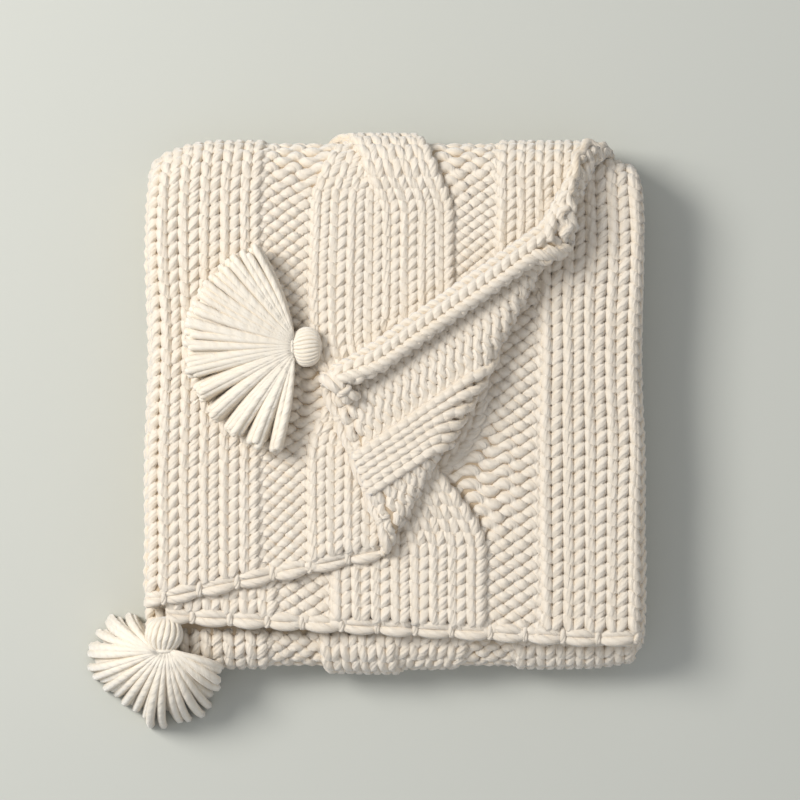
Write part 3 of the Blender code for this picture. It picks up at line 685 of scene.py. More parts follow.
def stitch_points(layer, row, column, group, crossing):
    """The yarn's line through one stitch: u, c, w and the yarn's thickness there."""
    sizes = bpy.context.scene.throw_sizes
    seed = layer.first * 0.1
    here = kind_of(column)
    before = kind_of(column - 1) if not group else here
    after = kind_of(column + 1) if not group else here
    neck = sizes.knit_neck if here > 0 else sizes.purl_neck
    wobble = noise.noise(Vector((column * 0.9 + seed, row * 0.8, seed * 0.3)))
    middle_u = column_u(column + 0.5, crossing)
    middle_c, _ = layer.lines.place(row, middle_u)
    turned_over = middle_u < U_LEFT and past_flap(LEFT_AXIS + U_LEFT - middle_u, middle_c) > 0
    steps = STEPS
    if group and abs(layer.lines.place(row, column_u(column, 0.0))[0] - crossing) < CLOSE_CROSSING:
        steps = 2 * STEPS
    points = []
    for step in range(steps):
        t = TURN * step / steps
        share = min(1.0, 0.5 + 3 * t / TURN, 0.5 + 3 * (1 - t / TURN))
        side = here * share + (before if t < math.pi else after) * (1 - share)
        bumpy = 0.0 if turned_over else (1 - side) / 2
        place = column + t / TURN + neck * (1 - PURL_NECK * bumpy) * math.sin(2 * t)
        centre, height = layer.lines.place(row, column_u(place, crossing))
        full = SHORT_LOOP + (1 - SHORT_LOOP) * min(1.0, height / ROW_HEIGHT)
        loop = height / 2 + sizes.overlap * full
        loop = (loop + (PURL_LOOP * height - loop) * bumpy) * (1 + LOOP_UNEVEN * wobble)
        rise = wobble * ROW_UNEVEN - loop * math.cos(t)
        place = swapped(place, group, centre + rise - crossing)
        if group:
            centre, _ = layer.lines.place(row, column_u(place, crossing))
        c = centre + rise
        if row < 0:
            c = max(c, hem_edge(column_u(place, c)) + HEM_CENTRE)
        away = c - crossing
        u = column_u(place, c) + (0.0 if group else pulled(place, away))
        u += CLOTH_UNEVEN * noise.noise(Vector((u * 16, c * 14, seed)))
        w = THICK / 2 - (1 - bumpy) * side * sizes.depth * math.cos(2 * t) + level(place, away, group)
        w += bumpy * (PURL_LIFT + PURL_WAVE * math.cos(2 * t))
        w += STITCH_UNEVEN * noise.noise(Vector((column * 1.7 + t * 0.4, row * 1.3 + 5, seed)))
        plump, more = KNIT_PLUMP if here > 0 else PURL_PLUMP
        points.append((u, c, w, plump + more * math.cos(2 * t) + WAVE_PLUMP * bumpy))
    return points


def tucked(points, column, way, away):
    """More points that lead a purl row's yarn on beneath the edge of the cable."""
    u, c, w, plump = points[-1] if way > 0 else points[0]
    turned_over = u < U_LEFT and past_flap(LEFT_AXIS + U_LEFT - u, c) > FLAP_RADIUS
    near = 1 - smooth(0.0, PULL_LENGTH, abs(away))
    made = []
    for row in TUCK:
        place = column + way * (row["reach"] + row["more"] * near)
        deep = w + 2 * row["drop"] if turned_over else w - row["drop"]
        made.append((column_u(place, c) + pulled(place, away), c, deep, plump))
    return made if way > 0 else made[::-1]


def yarn_runs(layer, rows, chosen=None):
    """Each unbroken run of visible stitches, as a list of its points."""
    runs = []
    for row in rows:
        run = []
        last_group = 0
        for column in range(layer.first, layer.last):
            group = cable_group(column)
            crossing = crossing_at(layer, row, column)
            c, _ = layer.lines.place(row, column_u(column + 0.5, 0.0))
            place = swapped(column + 0.5, group, c - crossing)
            c, _ = layer.lines.place(row, column_u(place, c))
            u = column_u(place, c)
            shown = layer.shows(u, c) and (chosen is None or chosen(u, c))
            if group and not shown and abs(c - crossing) < REAR_CROSSING[1] and chosen is None:
                shown = any(layer.shows(u + way * COLUMN, c) for way in (-1.5, 1.5))
            if row < 0 and (group or kind_of(column) > 0):
                shown = False
            turned = group != last_group
            if run and (not shown or turned):
                if turned and not last_group:
                    run += tucked(run, column, 1, c - crossing)
                runs.append(run)
                run = []
            if shown:
                stitch = stitch_points(layer, row, column, group, crossing)
                if turned and not group:
                    stitch = tucked(stitch, column, -1, c - crossing) + stitch
                run += stitch
            last_group = group
        if run:
            runs.append(run)
    return runs


def selvage():
    """The yarn's turns along the corner's free side edge, from the hem to the back."""
    low = hem_edge(0.0) + HEM_CENTRE
    count = round((SELVAGE["end"] - low) / (ROW_HEIGHT / SELVAGE["steps"]))
    run = []
    for index in range(count + 1):
        c = low + (SELVAGE["end"] - low) * index / count
        turn = TURN * (c - low) / ROW_HEIGHT
        u = side_edge(c) + SELVAGE["in"] + SELVAGE["sway"] * math.sin(turn)
        run.append((u, c, THICK / 2 + SELVAGE["wave"] * math.cos(turn), 1.0))
    return run


def carried_line(run):
    """Places, cloth normals and thickness of a run's points on the folded throw."""
    places = [carry(*point[:3]) for point in run]
    for place in places:
        place.z = max(place.z, LOWEST_YARN)
    normals = []
    for (u, c, w, _), place in zip(run, places):
        normals.append((carry(u, c, w + 1 * MM) - place).normalized())
    return places, normals, [point[3] for point in run]


# Yarn


def yarn_tube(mesh, places, normals, radius, flat):
    """Roll a grid into a tube of yarn through these places, with a radius for each place.

    Its UV is the length along it in metres, and the share of the way round.
    """
    count = len(places) - 1
    uv = mesh.loops.layers.uv.verify()
    grid = bmesh.ops.create_grid(mesh, x_segments=count, y_segments=SIDES, size=1.0)["verts"]
    length = 0.0
    rings = []
    for index, place in enumerate(places):
        ahead = places[min(count, index + 1)]
        behind = places[max(0, index - 1)]
        way = (ahead - behind).normalized()
        across = way.cross(normals[index])
        if across.length < TINY:
            across = way.orthogonal()
        across.normalize()
        up = across.cross(way)
        size = radius[index] * (1 + YARN_UNEVEN * noise.noise(place * 45))
        rings.append((place, across * size, up * size * flat, length))
        if index < count:
            length += (places[index + 1] - place).length
    for vert in grid:
        index = round((vert.co.x + 1) / 2 * count)
        side = round((vert.co.y + 1) / 2 * SIDES)
        place, across, up, run = rings[index]
        angle = TURN * side / SIDES
        vert.co = place + across * math.cos(angle) + up * math.sin(angle)
        vert.co.z = max(FLOOR_GAP, vert.co.z)
        for loop in vert.link_loops:
            loop[uv].uv = (run, side / SIDES)


def link_new(name, data):
    """A new object in the scene."""
    made = bpy.data.objects.new(name, data)
    bpy.context.scene.collection.objects.link(made)
    return made


def finish_piece(name, mesh, material, stands_for=None):
    """Close the yarn's seams and ends, and make the piece."""
    bmesh.ops.remove_doubles(mesh, verts=mesh.verts[:], dist=TINY)
    ends = [edge for edge in mesh.edges if edge.is_boundary]
    bmesh.ops.holes_fill(mesh, edges=ends, sides=12)
    bmesh.ops.recalc_face_normals(mesh, faces=mesh.faces[:])
    data = bpy.data.meshes.new(name)
    mesh.to_mesh(data)
    mesh.free()
    data.shade_smooth()
    data.materials.append(material)
    piece = link_new(name, data)
    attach(piece, "root")
    if stands_for:
        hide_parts(stands_for)


def knit_piece(name, runs, radius):
    """A piece of knitting from its runs of yarn."""
    mesh = bmesh.new()
    for run in runs:
        places, normals, plump = carried_line(run)
        yarn_tube(mesh, places, normals, [radius * size for size in plump], KNIT_FLAT)
    sizes = bpy.context.scene.throw_sizes
    # the third colour is painted shade on the yarn's sides, in the creases between stitches
    material = wool("cream_wool", sizes.wool_light, sizes.wool_shade, (0.97, 0.92, 0.84), 3.0, 26.0, 1.0)
    finish_piece(name, mesh, material)


# Materials


def set_sockets(node, **values):
    """Set these values on a node's inputs."""
    for name, value in values.items():
        node.inputs[name.replace("_", " ")].default_value = value


def add_node(tree, kind, **values):
    """A new shader node with these values on its inputs."""
    node = tree.nodes.new("ShaderNode" + kind)
    set_sockets(node, **values)
    return node


def noise_at(tree, place, **values):
    """The strength of a noise pattern read at this place."""
    node = add_node(tree, "TexNoise", **values)
    tree.links.new(place, node.inputs["Vector"])
    return node.outputs["Fac"]


def mixed(tree, factor, first, second, way="MIX"):
    """A colour mixed from two, each given as three parts or as another node's output."""
    node = tree.nodes.new("ShaderNodeMix")
    node.data_type = "RGBA"
    node.blend_type = way
    tree.links.new(factor, node.inputs["Factor"])
    for name, value in (("A", first), ("B", second)):
        if isinstance(value, bpy.types.NodeSocket):
            tree.links.new(value, node.inputs[name])
        else:
            node.inputs[name].default_value = (*value, 1.0)
    return node.outputs["Result"]


def finish_surface(tree, colour, height, strength, depth):
    """Give the surface its colour, and lift it by this height."""
    surface = tree.nodes["Principled BSDF"]
    lift = add_node(tree, "Bump", Strength=strength, Distance=depth)
    tree.links.new(height, lift.inputs["Height"])
    tree.links.new(lift.outputs["Normal"], surface.inputs["Normal"])
    tree.links.new(colour, surface.inputs["Base Color"])


def matt_material(name, **values):
    """A new material with these values on its surface."""
    material = bpy.data.materials.new(name)
    material.use_nodes = True
    set_sockets(material.node_tree.nodes["Principled BSDF"], **values)
    return material


def yarn_group():
    """Twist and fibres of a soft yarn, from the yarn's own UV: a height and two colour masks. The Shade mask
    is painted shade between the plies mixed with random streaks of tone, and the Side mask is painted shade
    on the yarn's sides.
    """
    if "Soft yarn" in bpy.data.node_groups:
        return bpy.data.node_groups["Soft yarn"]
    group = bpy.data.node_groups.new("Soft yarn", "ShaderNodeTree")
    for name, value in (("Plies", 3.0), ("Twist per metre", 22.0), ("Fibre size", 900.0)):
        socket = group.interface.new_socket(name=name, in_out="INPUT", socket_type="NodeSocketFloat")
        socket.default_value = value
    for name in ("Shade", "Side", "Height"):
        group.interface.new_socket(name=name, in_out="OUTPUT", socket_type="NodeSocketFloat")
    links = group.links
    entry = group.nodes.new("NodeGroupInput")
    leave = group.nodes.new("NodeGroupOutput")

    def worked(kind, first, second=0.0):
        """One step of a sum on two values, each a number or another node's output."""
        node = add_node(group, "Math")
        node.operation = kind
        for socket, value in zip(node.inputs, (first, second)):
            if isinstance(value, (int, float)):
                socket.default_value = value
            else:
                links.new(value, socket)
        return node.outputs[0]

    def weighed(*parts):
        """The sum of these outputs, each times its share."""
        total = None
        for output, share in parts:
            part = worked("MULTIPLY", output, share)
            total = worked("ADD", total, part) if total else part
        return total

    split = add_node(group, "SeparateXYZ")
    links.new(add_node(group, "UVMap").outputs["UV"], split.inputs[0])
    run, way_round = split.outputs["X"], split.outputs["Y"]
    spiral = worked("ADD", way_round, worked("MULTIPLY", run, entry.outputs["Twist per metre"]))
    phase = worked("MULTIPLY", spiral, entry.outputs["Plies"])
    ply = worked("ABSOLUTE", worked("SINE", worked("MULTIPLY", phase, math.pi)))
    fine = worked("SINE", worked("MULTIPLY", spiral, TURN * 7))
    fuzz = noise_at(group, add_node(group, "TexCoord").outputs["Object"], Detail=4.0, Roughness=0.65)
    links.new(entry.outputs["Fibre size"], fuzz.node.inputs["Scale"])
    angle = worked("MULTIPLY", spiral, TURN)
    round_yarn = add_node(group, "CombineXYZ")
    round_parts = ((worked("COSINE", angle), 1.7), (worked("SINE", angle), 1.7), (run, 105.0))
    for socket, (part, scale) in zip(round_yarn.inputs, round_parts):
        links.new(worked("MULTIPLY", part, scale), socket)
    streaks = noise_at(group, round_yarn.outputs[0], Scale=1.0, Detail=3.0, Roughness=0.7)
    links.new(weighed((ply, 0.5), (fuzz, 0.4), (fine, 0.07), (streaks, 0.9)), leave.inputs["Height"])
    # Shade mask: painted shade between the plies, mixed with random streaks of tone
    links.new(weighed((ply, 0.35), (streaks, 0.95)), leave.inputs["Shade"])
    # Side mask: painted shade on the yarn's sides, where the creases between neighbouring yarns fall; 0 on
    # its top and underside
    round_about = worked("SINE", worked("MULTIPLY", way_round, TURN))
    links.new(worked("SUBTRACT", 1.0, worked("ABSOLUTE", round_about)), leave.inputs["Side"])
    return group


def wool(name, light, shade, side_shade_tint, plies, twist, bump):
    """Matt cream wool with a soft twist, a little lighter on its plies than between them: painted shade
    between the plies and on the yarn's sides, with random streaks of tone.
    """
    if name in bpy.data.materials:
        return bpy.data.materials[name]
    material = matt_material(
        name, Roughness=0.95, Specular_IOR_Level=0.12, Sheen_Weight=0.8, Sheen_Roughness=0.5
    )
    tree = material.node_tree
    yarn = tree.nodes.new("ShaderNodeGroup")
    yarn.node_tree = yarn_group()
    set_sockets(yarn, Plies=plies, Twist_per_metre=twist)
    cloud = noise_at(tree, add_node(tree, "TexCoord").outputs["Object"], Scale=26.0, Detail=3.0)
    # lit and shaded copies of the wool's colour: painted shade between the plies, random tone in the streaks
    plain = mixed(tree, yarn.outputs["Shade"], shade, light)
    warm = mixed(tree, cloud, plain, (0.955, 0.93, 0.885), "MULTIPLY")
    # painted shade: the side tint darkens the yarn's sides
    sides = mixed(tree, yarn.outputs["Side"], warm, side_shade_tint, "MULTIPLY")
    finish_surface(tree, sides, yarn.outputs["Height"], bump, 1.4 * MM)
    return material


def painted_gap_wool(light):
    """The inner yarn behind the stitches, coloured a dark brown as painted shade in the gaps between them."""
    material = matt_material("shaded_wool", Roughness=1.0, Specular_IOR_Level=0.05)
    tree = material.node_tree
    weave = noise_at(tree, add_node(tree, "TexCoord").outputs["Object"], Scale=300.0, Detail=3.0)
    finish_surface(tree, mixed(tree, weave, [part * 0.72 for part in light], light), weave, 0.6, 1.0 * MM)
    return material


# Inner cloth


def stations(table):
    """Places from the table's first end to its last, through every end, about a step apart."""
    places = [table[0]["end"]]
    for before, after in zip(table, table[1:]):
        low, high = before["end"], after["end"]
        count = max(1, round((high - low) / after["step"]))
        places += [low + (high - low) * index / count for index in range(1, count + 1)]
    return places


def cloth_mesh():
    """The inner cloth on the folds: a closed thin slab."""
    in_u, in_c = stations(CLOTH_U), stations(CLOTH_C)
    mesh = bmesh.new()
    columns, rows = len(in_u) - 1, len(in_c) - 1
    bmesh.ops.create_grid(mesh, x_segments=columns, y_segments=rows, size=1.0)
    for vert in mesh.verts:
        u = in_u[round((vert.co.x + 1) / 2 * columns)]
        c = in_c[round((vert.co.y + 1) / 2 * rows)]
        hem = hem_edge(u) + CLOTH_INSET
        c = hem + c * (C_BACK - hem) / C_BACK if c < C_BACK else c
        edge = side_edge(c) + CLOTH_INSET
        u = edge + u * (U_LEFT - edge) / U_LEFT if u < U_LEFT else u
        vert.co = (u, c, 0)
    bmesh.ops.recalc_face_normals(mesh, faces=mesh.faces[:])
    upper = bmesh.ops.extrude_face_region(mesh, geom=mesh.faces[:])["geom"]
    raised = {item for item in upper if isinstance(item, bmesh.types.BMVert)}
    for vert in mesh.verts:
        u, c, _ = vert.co
        low, high = THICK / 2 - CLOTH_HALF, THICK / 2 + CLOTH_HALF
        vert.co = (u, c, high if vert in raised else low)
    bmesh.ops.recalc_face_normals(mesh, faces=mesh.faces[:])
    for vert in mesh.verts:
        u, c, w = vert.co
        place = 0.0
        if u < U_LEFT:
            x = LEFT_AXIS + (U_LEFT - u) / drawn_out(c)
            place = along(TOP_COLUMNS, "x", "column", x) % REPEAT
        elif u > U_RIGHT:
            place = along(MIDDLE_COLUMNS, "x", "column", RIGHT_AXIS + U_MIDDLE - u) % REPEAT
        vert.co = carry(u, c, w - CLOTH_SINK * purl_share(place, 1, 0))
        vert.co.z = max(FLOOR_GAP, vert.co.z)
    bmesh.ops.reverse_faces(mesh, faces=mesh.faces[:])
    return mesh


# Hem and tassels


def hem_phase(u):
    """Half a turn for each bump of the bound edge, with bumps a little uneven."""
    return math.pi * (u + HEM_UNEVEN * noise.noise(Vector((u * 18, 3.1, 0)))) / HEM_PITCH


def hem_runs():
    """The bound edge's two strands: side by side in each bump and drawn together between bumps."""
    bump = HEM_BUMP
    runs = ([], [])
    count = round(U_END / (HEM_PITCH / HEM_STEPS))
    for index in range(count + 1):
        u = bump["start"] + (U_END - bump["start"]) * index / count
        phase = hem_phase(u)
        swell = abs(math.sin(phase)) ** bump["fullness"]
        spread = bump["gap"] + bump["spread"] * swell
        for run, way in zip(runs, (-1, 1)):
            w = THICK / 2 + way * bump["twist"] * math.sin(phase) + bump["rise"] * swell - bump["sunk"]
            plump = bump["thin"] + (1 - bump["thin"]) * swell
            run.append((u, hem_edge(u) + HEM_CENTRE + way * spread, w, plump))
    return runs


def hem_wraps():
    """Short strands that wrap the bound edge between its bumps."""
    wrap = HEM_WRAP
    runs = []
    for bump in range(1, math.ceil(U_END / HEM_PITCH - 1 / 3)):
        u = bump * HEM_PITCH
        for _ in range(4):
            u += (bump * math.pi - hem_phase(u)) * HEM_PITCH / math.pi
        centre = hem_edge(u) + HEM_CENTRE + wrap["past"]
        run = []
        for step in range(wrap["steps"] + 1):
            angle = TURN * step / wrap["steps"] - math.pi / 2
            lean = wrap["lean"] * math.sin(angle) * (-1) ** bump
            c = centre + wrap["half_wide"] * math.cos(angle)
            run.append((u + lean, c, THICK / 2 + wrap["half_high"] * math.sin(angle), wrap["thin"]))
        runs.append(run)
    return runs


def bezier(points, t):
    """Place on the curve from the first point, bending to the second, to the third."""
    a, b, c = points
    return a * (1 - t) ** 2 + b * 2 * t * (1 - t) + c * t * t


def strand(mesh, curve, size, thin, broad_at, flat):
    """A loose strand of yarn on a curve: thin at its root and rounded off at its far end."""
    runs = [step / STRAND_STEPS for step in range(STRAND_STEPS + 1)] + [STRAND_END["run"]]
    points = [bezier(curve, run) - SHIFT for run in runs]
    radius = [size * (thin + (1 - thin) * smooth(-0.05, broad_at, run)) for run in runs]
    radius[-1] *= STRAND_END["size"]
    yarn_tube(mesh, points, [Vector((0, 0, 1))] * len(points), radius, flat)


def head_swell(share, sizes):
    """Half width and half height of the head, from its tip (0) to its neck (1)."""
    swell = math.sqrt(max(0.0, 1 - (2 * HEAD_REACH * share - HEAD_REACH) ** 2))
    if share < 0.5:
        swell *= smooth(-0.25, 0.2, share) * 0.55 + 0.45
    else:
        swell = max(swell, sizes["neck_share"] * smooth(0.4, 0.9, share))
    if share == 0:
        swell = 0.2
    return swell * sizes["half_wide"], swell * sizes["half_high"]


def head_place(sizes, share, side, height):
    """Place in a tassel's head at this share of the way from its tip to its neck."""
    neck = sizes["neck"]
    reach = sizes["length"] * (1 - share)
    x, y = (reach, side) if sizes["head_way"] == "x" else (side, reach)
    return Vector((neck.x + x, neck.y + y, neck.z + height)) - SHIFT


def head_yarn(mesh, sizes, points, radius, flat):
    """Yarn on the head through points of share, turn, half width and half height."""
    places, ups = [], []
    for share, around, wide, high in points:
        side, up = math.cos(around), math.sin(around)
        places.append(head_place(sizes, share, side * wide, up * high))
        ups.append((head_place(sizes, share, side, up) - head_place(sizes, share, 0, 0)).normalized())
    yarn_tube(mesh, places, ups, radius, flat)


def tassel_head(sizes):
    """A new mesh with the head's strands over an egg, and the thin yarn tied round the neck."""
    mesh = bmesh.new()
    yarn = sizes["head_yarn"]
    core = bmesh.ops.create_uvsphere(mesh, u_segments=20, v_segments=12, radius=1.0)["verts"]
    for vert in core:
        share = (vert.co.z + 1) / 2
        wide, high = head_swell(share, sizes)
        ring = math.sqrt(max(0.0, 1 - vert.co.z ** 2))
        side = Vector((vert.co.x / ring, vert.co.y / ring)) if ring > 1e-4 else Vector((0, 0))
        vert.co = head_place(sizes, share, side.x * (wide - yarn), side.y * (high - yarn))
    steps = range(HEAD_STEPS + 1)
    thickness = [yarn * (0.62 + 0.42 * math.sin(math.pi * step / HEAD_STEPS)) for step in steps]
    for index in range(sizes["head_strands"]):
        start = TURN * (index + 0.15 * noise.noise(Vector((index * 1.7, 0, 0)))) / sizes["head_strands"]
        points = []
        for step in steps:
            share = step / HEAD_STEPS
            wide, high = head_swell(share, sizes)
            points.append((share, start + sizes["head_twist"] * share, wide - yarn * 0.6, high - yarn * 0.6))
        head_yarn(mesh, sizes, points, thickness, 0.8)
    wide, high = (sizes["neck_share"] * sizes[half] - TIE["sunk"] for half in ("half_wide", "half_high"))
    count = TIE["turns"] * TIE["steps"]
    points = [
        (TIE["share"] + TIE["width"] * step / count, TURN * step / TIE["steps"], wide, high)
        for step in range(count + 1)
    ]
    head_yarn(mesh, sizes, points, [TIE["yarn"]] * len(points), 1.0)
    return mesh


def fan_places(sizes, draw):
    """Each strand's layer, height, share of the way round the fan, even side and angle.

    The height and the side run from -1 to 1.
    """
    for layer in range(FAN_LAYERS):
        count = sizes["strands"] - layer % 2
        height = (layer - (FAN_LAYERS - 1) / 2) / (FAN_LAYERS / 2)
        for column in range(count):
            share = (column + 0.5 + draw(-0.3, 0.3)) / count
            side = (column + 0.5) / count * 2 - 1
            yield layer, height, share, side, sizes["first_angle"] + sizes["fan"] * share


def fan_tip(sizes, reach, angle):
    """Tip of a strand on the fan, at no height, and the way across the strand."""
    neck = sizes["neck"]
    tip = Vector((neck.x + reach * math.cos(angle), neck.y + reach * math.sin(angle), 0))
    return tip, Vector((-math.sin(angle), math.cos(angle), 0))


def upper_tassel():
    """The tassel on the turned-back corner, fanned out to the left on the cloth."""
    sizes = UPPER
    neck = sizes["neck"]
    draw = random.Random(7).uniform
    mesh = tassel_head(sizes)
    for layer, height, share, side, angle in fan_places(sizes, draw):
        in_locks = smooth(*sizes["lock_band"], share)
        lock = round(share * sizes["locks"]) / sizes["locks"]
        outside = in_locks * abs(lock - share) * 2 * sizes["locks"]
        angle += (lock - share) * sizes["fan"] * sizes["lock_draw"] * in_locks
        reach = sizes["radius"] * (1 + draw(-0.045, 0.03) - 0.02 * (layer < 2)) * (1 - 0.03 * outside)
        tip, across = fan_tip(sizes, reach, angle)
        tip.z = sizes["lowest_tip"] + sizes["tip_step"] * layer * (1 - 0.35 * outside)
        root = neck + Vector((0.5 * MM, -side * sizes["root_side"], height * sizes["root_height"]))
        middle = root.lerp(tip, 0.36) + Vector((-7 * MM + 9 * MM * side**4, -(side**3) * 9 * MM, 0))
        middle.z = neck.z + height * sizes["arch"] + 2 * MM
        middle += across * draw(-1, 1) * STRAND_BEND
        size = draw(0.92, 1.08) * (sizes["yarn"] + sizes["lock_yarn"] * in_locks)
        strand(mesh, (root, middle, tip), size, 0.46, 0.62, 0.86)
    return mesh


def lower_tassel():
    """The tassel on the front left corner, hanging over the front with its strands on the floor."""
    sizes = LOWER
    neck = sizes["neck"]
    draw = random.Random(11).uniform
    mesh = tassel_head(sizes)
    for layer, height, _, side, angle in fan_places(sizes, draw):
        reach = sizes["radius"] - sizes["layer_step"] * (FAN_LAYERS - 1 - layer)
        reach *= (1 + draw(-0.07, 0.05)) * along(LOWER_REACH, "angle", "share", angle)
        tip, across = fan_tip(sizes, reach, angle)
        size = draw(0.93, 1.07) * sizes["yarn"]
        tip.z = smooth(*sizes["perch_angles"], angle) * sizes["perch"] + size * 0.9
        root = neck + Vector((side * sizes["root_side"], -0.5 * MM, height * sizes["root_height"]))
        middle = root.lerp(tip, 0.80)
        middle.z = neck.z + height * sizes["arch"] - 1 * MM
        middle += across * draw(-1, 1) * STRAND_BEND
        strand(mesh, (root, middle, tip), size, 0.5, 0.5, 0.92)
    return mesh


# Sizes and operators


def a_colour(name, description, default):
    """A colour that the maker may change."""
    return bpy.props.FloatVectorProperty(
        name=name, description=description, default=default, size=3, subtype="COLOR", min=0.0, max=1.0
    )


def a_length(name, description, default):
    """A length that the maker may change, in metres."""
    return bpy.props.FloatProperty(
        name=name, description=description, default=default, unit="LENGTH", min=0.0001, max=1.0, precision=5
    )


def a_swing(name, description, default):
    """A loop's sideways swing that the maker may change, as a share of its column."""
    return bpy.props.FloatProperty(name=name, description=description, default=default, min=0.0, max=0.4)


class ThrowSizes(bpy.types.PropertyGroup):
    """Sizes and colours of the throw's yarn."""

    top_yarn: a_length("Top layer yarn", "Radius of the yarn on the top layer", 4.75 * MM)
    middle_yarn: a_length("Middle layer yarn", "Radius of the yarn on the middle layer", 5.1 * MM)
    hem_yarn: a_length("Hem yarn", "Radius of the yarn in the bound edge", 4.9 * MM)
    depth: a_length("Loop depth", "How far a stitch's legs and head lie from its middle", 2.8 * MM)
    overlap: a_length("Overlap", "How far a loop reaches past half its row", 3.6 * MM)
    knit_neck: a_swing("Knit neck", "Sideways swing of a knit loop as a share of its column", 0.225)
    purl_neck: a_swing("Purl neck", "Sideways swing of a purl loop as a share of its column", 0.12)
    # wool_shade and tassel_shade are painted shade between the plies, also mixed by random streaks of tone;
    # wool_light and tassel_light are that wool in the light
    wool_light: a_colour("Wool", "Colour of the wool in the light", (0.90, 0.83, 0.725))
    wool_shade: a_colour("Wool shade", "Colour of the wool between its plies", (0.81, 0.715, 0.585))
    tassel_light: a_colour("Tassel wool", "Colour of the tassels' wool in the light", (0.92, 0.865, 0.765))
    tassel_shade: a_colour("Tassel shade", "Colour of that wool between its plies", (0.88, 0.80, 0.67))
    # painted shade: the inner yarn's brown stands for the shade in the gaps between the stitches
    painted_gap_shade: a_colour("Inner wool", "Colour of the shaded yarn behind the stitches", (0.62, 0.49, 0.34))
    floor: a_colour("Floor", "Colour of the pale floor", (0.56, 0.57, 0.52))


class THROW_OT_stage(bpy.types.Operator):
    """Set the camera, the floor and the soft light"""

    bl_idname = "throw.stage"
    bl_label = "Stage"

    def execute(self, context):
        scene = context.scene
        scene.view_settings.view_transform = "Standard"
        centre = Vector((grid_x(GRID_WIDTH / 2), grid_y(GRID_WIDTH / 2), 0)) - SHIFT
        view = bpy.data.cameras.new("camera")
        view.sensor_width = SENSOR
        view.lens = SENSOR * CAMERA_HEIGHT / (GRID_WIDTH * PX)
        view.clip_end = 50
        scene.camera = link_new("camera", view)
        scene.camera.location = (centre.x, centre.y, HEIGHT + CAMERA_HEIGHT)
        mesh = bmesh.new()
        down = Matrix.Translation((0, 0, FLOOR_LEVEL))
        bmesh.ops.create_grid(mesh, x_segments=1, y_segments=1, size=4.0, matrix=down)
        data = bpy.data.meshes.new("floor")
        mesh.to_mesh(data)
        mesh.free()
        pale = (*scene.throw_sizes.floor, 1.0)
        data.materials.append(matt_material("pale_floor", Base_Color=pale, Roughness=0.9))
        link_new("floor", data)
        for name, light in LIGHTS.items():
            area = bpy.data.lights.new(name, "AREA")
            area.energy = light["power"]
            area.size = light["size"]
            area.color = light["tint"]
            lamp = link_new(name, area)
            lamp.location = light["place"]
            lamp.rotation_euler = (-Vector(light["place"])).to_track_quat("-Z", "Y").to_euler()
        world = bpy.data.worlds.new("soft_room")
        world.use_nodes = True
        set_sockets(world.node_tree.nodes["Background"], Color=(0.93, 0.95, 1.0, 1.0), Strength=0.45)
        scene.world = world
        return {"FINISHED"}


class THROW_OT_cloth(bpy.types.Operator):
    """Lay the inner cloth on the throw's folds, coloured as painted shade for the gaps between stitches"""

    bl_idname = "throw.cloth"
    bl_label = "Backing cloth"

    def execute(self, context):
        # painted shade colour of the inner cloth
        light = tuple(context.scene.throw_sizes.painted_gap_shade)
        finish_piece("throw_cloth", cloth_mesh(), painted_gap_wool(light), "knitted_throw")
        return {"FINISHED"}


class THROW_OT_top_layer(bpy.types.Operator):
    """Knit the top layer, over the back, and its turned-back corner"""

    bl_idname = "throw.top_layer"
    bl_label = "Top layer"

    def execute(self, context):
        yarn = context.scene.throw_sizes.top_yarn

        def flat(u, c):
            return u > U_LEFT or past_flap(LEFT_AXIS + U_LEFT - u, c) <= 0

        def turned(u, c):
            return not flat(u, c)

        rows = range(-1, ROWS_ABOVE)
        knit_piece("top_layer_stitches", yarn_runs(TOP_LAYER, rows, flat), yarn)
        knit_piece("turned_corner_stitches", yarn_runs(TOP_LAYER, rows, turned) + [selvage()], yarn)
        return {"FINISHED"}


class THROW_OT_under_layers(bpy.types.Operator):
    """Knit what shows of the middle layer and of the folded edges underneath"""

    bl_idname = "throw.under_layers"
    bl_label = "Layers below"

    def execute(self, context):
        sizes = context.scene.throw_sizes
        runs = yarn_runs(MIDDLE_LAYER, range(-1, MIDDLE_LINES.total()))
        knit_piece("middle_layer_stitches", runs, sizes.middle_yarn)
        runs = yarn_runs(TOP_LAYER, range(ROWS_ABOVE, TOP_LINES.total()))
        knit_piece("folded_edge_stitches", runs, sizes.top_yarn)
        return {"FINISHED"}


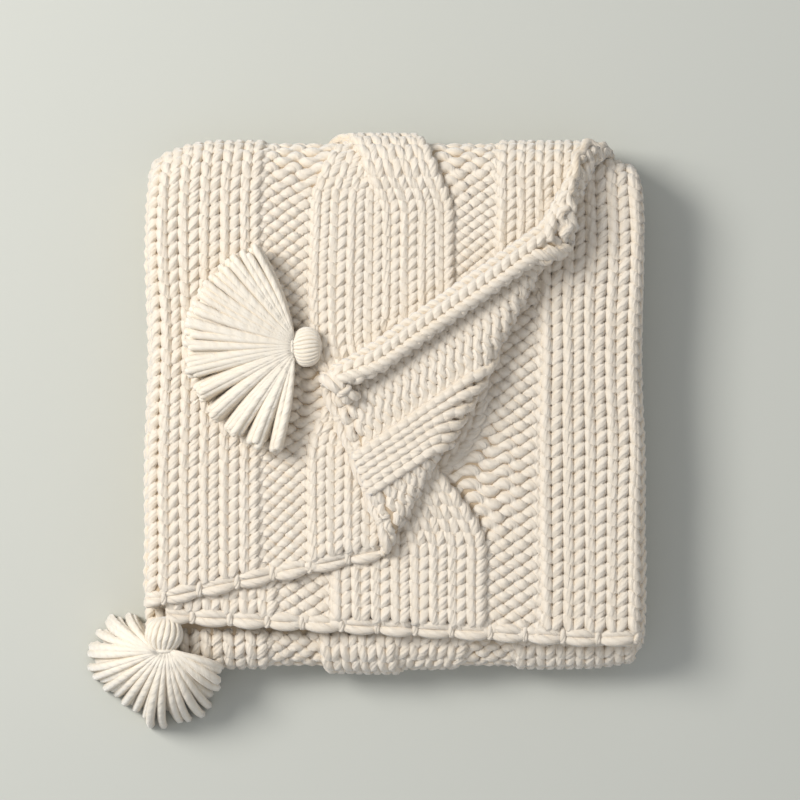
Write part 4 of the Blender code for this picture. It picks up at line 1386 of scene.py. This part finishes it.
class THROW_OT_hem(bpy.types.Operator):
    """Bind the front hem in rounded bumps"""

    bl_idname = "throw.hem"
    bl_label = "Hem"

    def execute(self, context):
        knit_piece("bound_hem", (*hem_runs(), *hem_wraps()), context.scene.throw_sizes.hem_yarn)
        return {"FINISHED"}


class THROW_OT_tassels(bpy.types.Operator):
    """Tie the two corner tassels"""

    bl_idname = "throw.tassels"
    bl_label = "Tassels"

    def execute(self, context):
        sizes = context.scene.throw_sizes
        # the third colour is painted shade on the tassel yarn's sides
        soft = wool("tassel_wool", sizes.tassel_light, sizes.tassel_shade, (0.95, 0.89, 0.79), 2.0, 42.0, 0.6)
        finish_piece("upper_tassel_strands", upper_tassel(), soft, "tassel_upper")
        finish_piece("lower_tassel_strands", lower_tassel(), soft, "tassel_lower")
        return {"FINISHED"}


class THROW_PT_panel(bpy.types.Panel):
    """Lists the throw's pieces and sizes"""

    bl_label = "Cable knit throw"
    bl_idname = "THROW_PT_panel"
    bl_space_type = "VIEW_3D"
    bl_region_type = "UI"
    bl_category = "Throw"

    def draw(self, context):
        column = self.layout.column()
        for name in ThrowSizes.__annotations__:
            column.prop(context.scene.throw_sizes, name)
        for operator in OPERATORS:
            column.operator(operator.bl_idname)


OPERATORS = (
    THROW_OT_stage,
    THROW_OT_cloth,
    THROW_OT_top_layer,
    THROW_OT_under_layers,
    THROW_OT_hem,
    THROW_OT_tassels,
)
CLASSES = (ThrowSizes, *OPERATORS, THROW_PT_panel)


def register():
    for made in CLASSES:
        bpy.utils.register_class(made)
    bpy.types.Scene.throw_sizes = bpy.props.PointerProperty(type=ThrowSizes)


def unregister():
    del bpy.types.Scene.throw_sizes
    for made in reversed(CLASSES):
        bpy.utils.unregister_class(made)


def main():
    """Make every piece in order."""
    register()
    bpy.ops.throw.stage()
    bpy.ops.throw.cloth()
    bpy.ops.throw.top_layer()
    bpy.ops.throw.under_layers()
    bpy.ops.throw.hem()
    bpy.ops.throw.tassels()


if __name__ == "__main__":
    main()
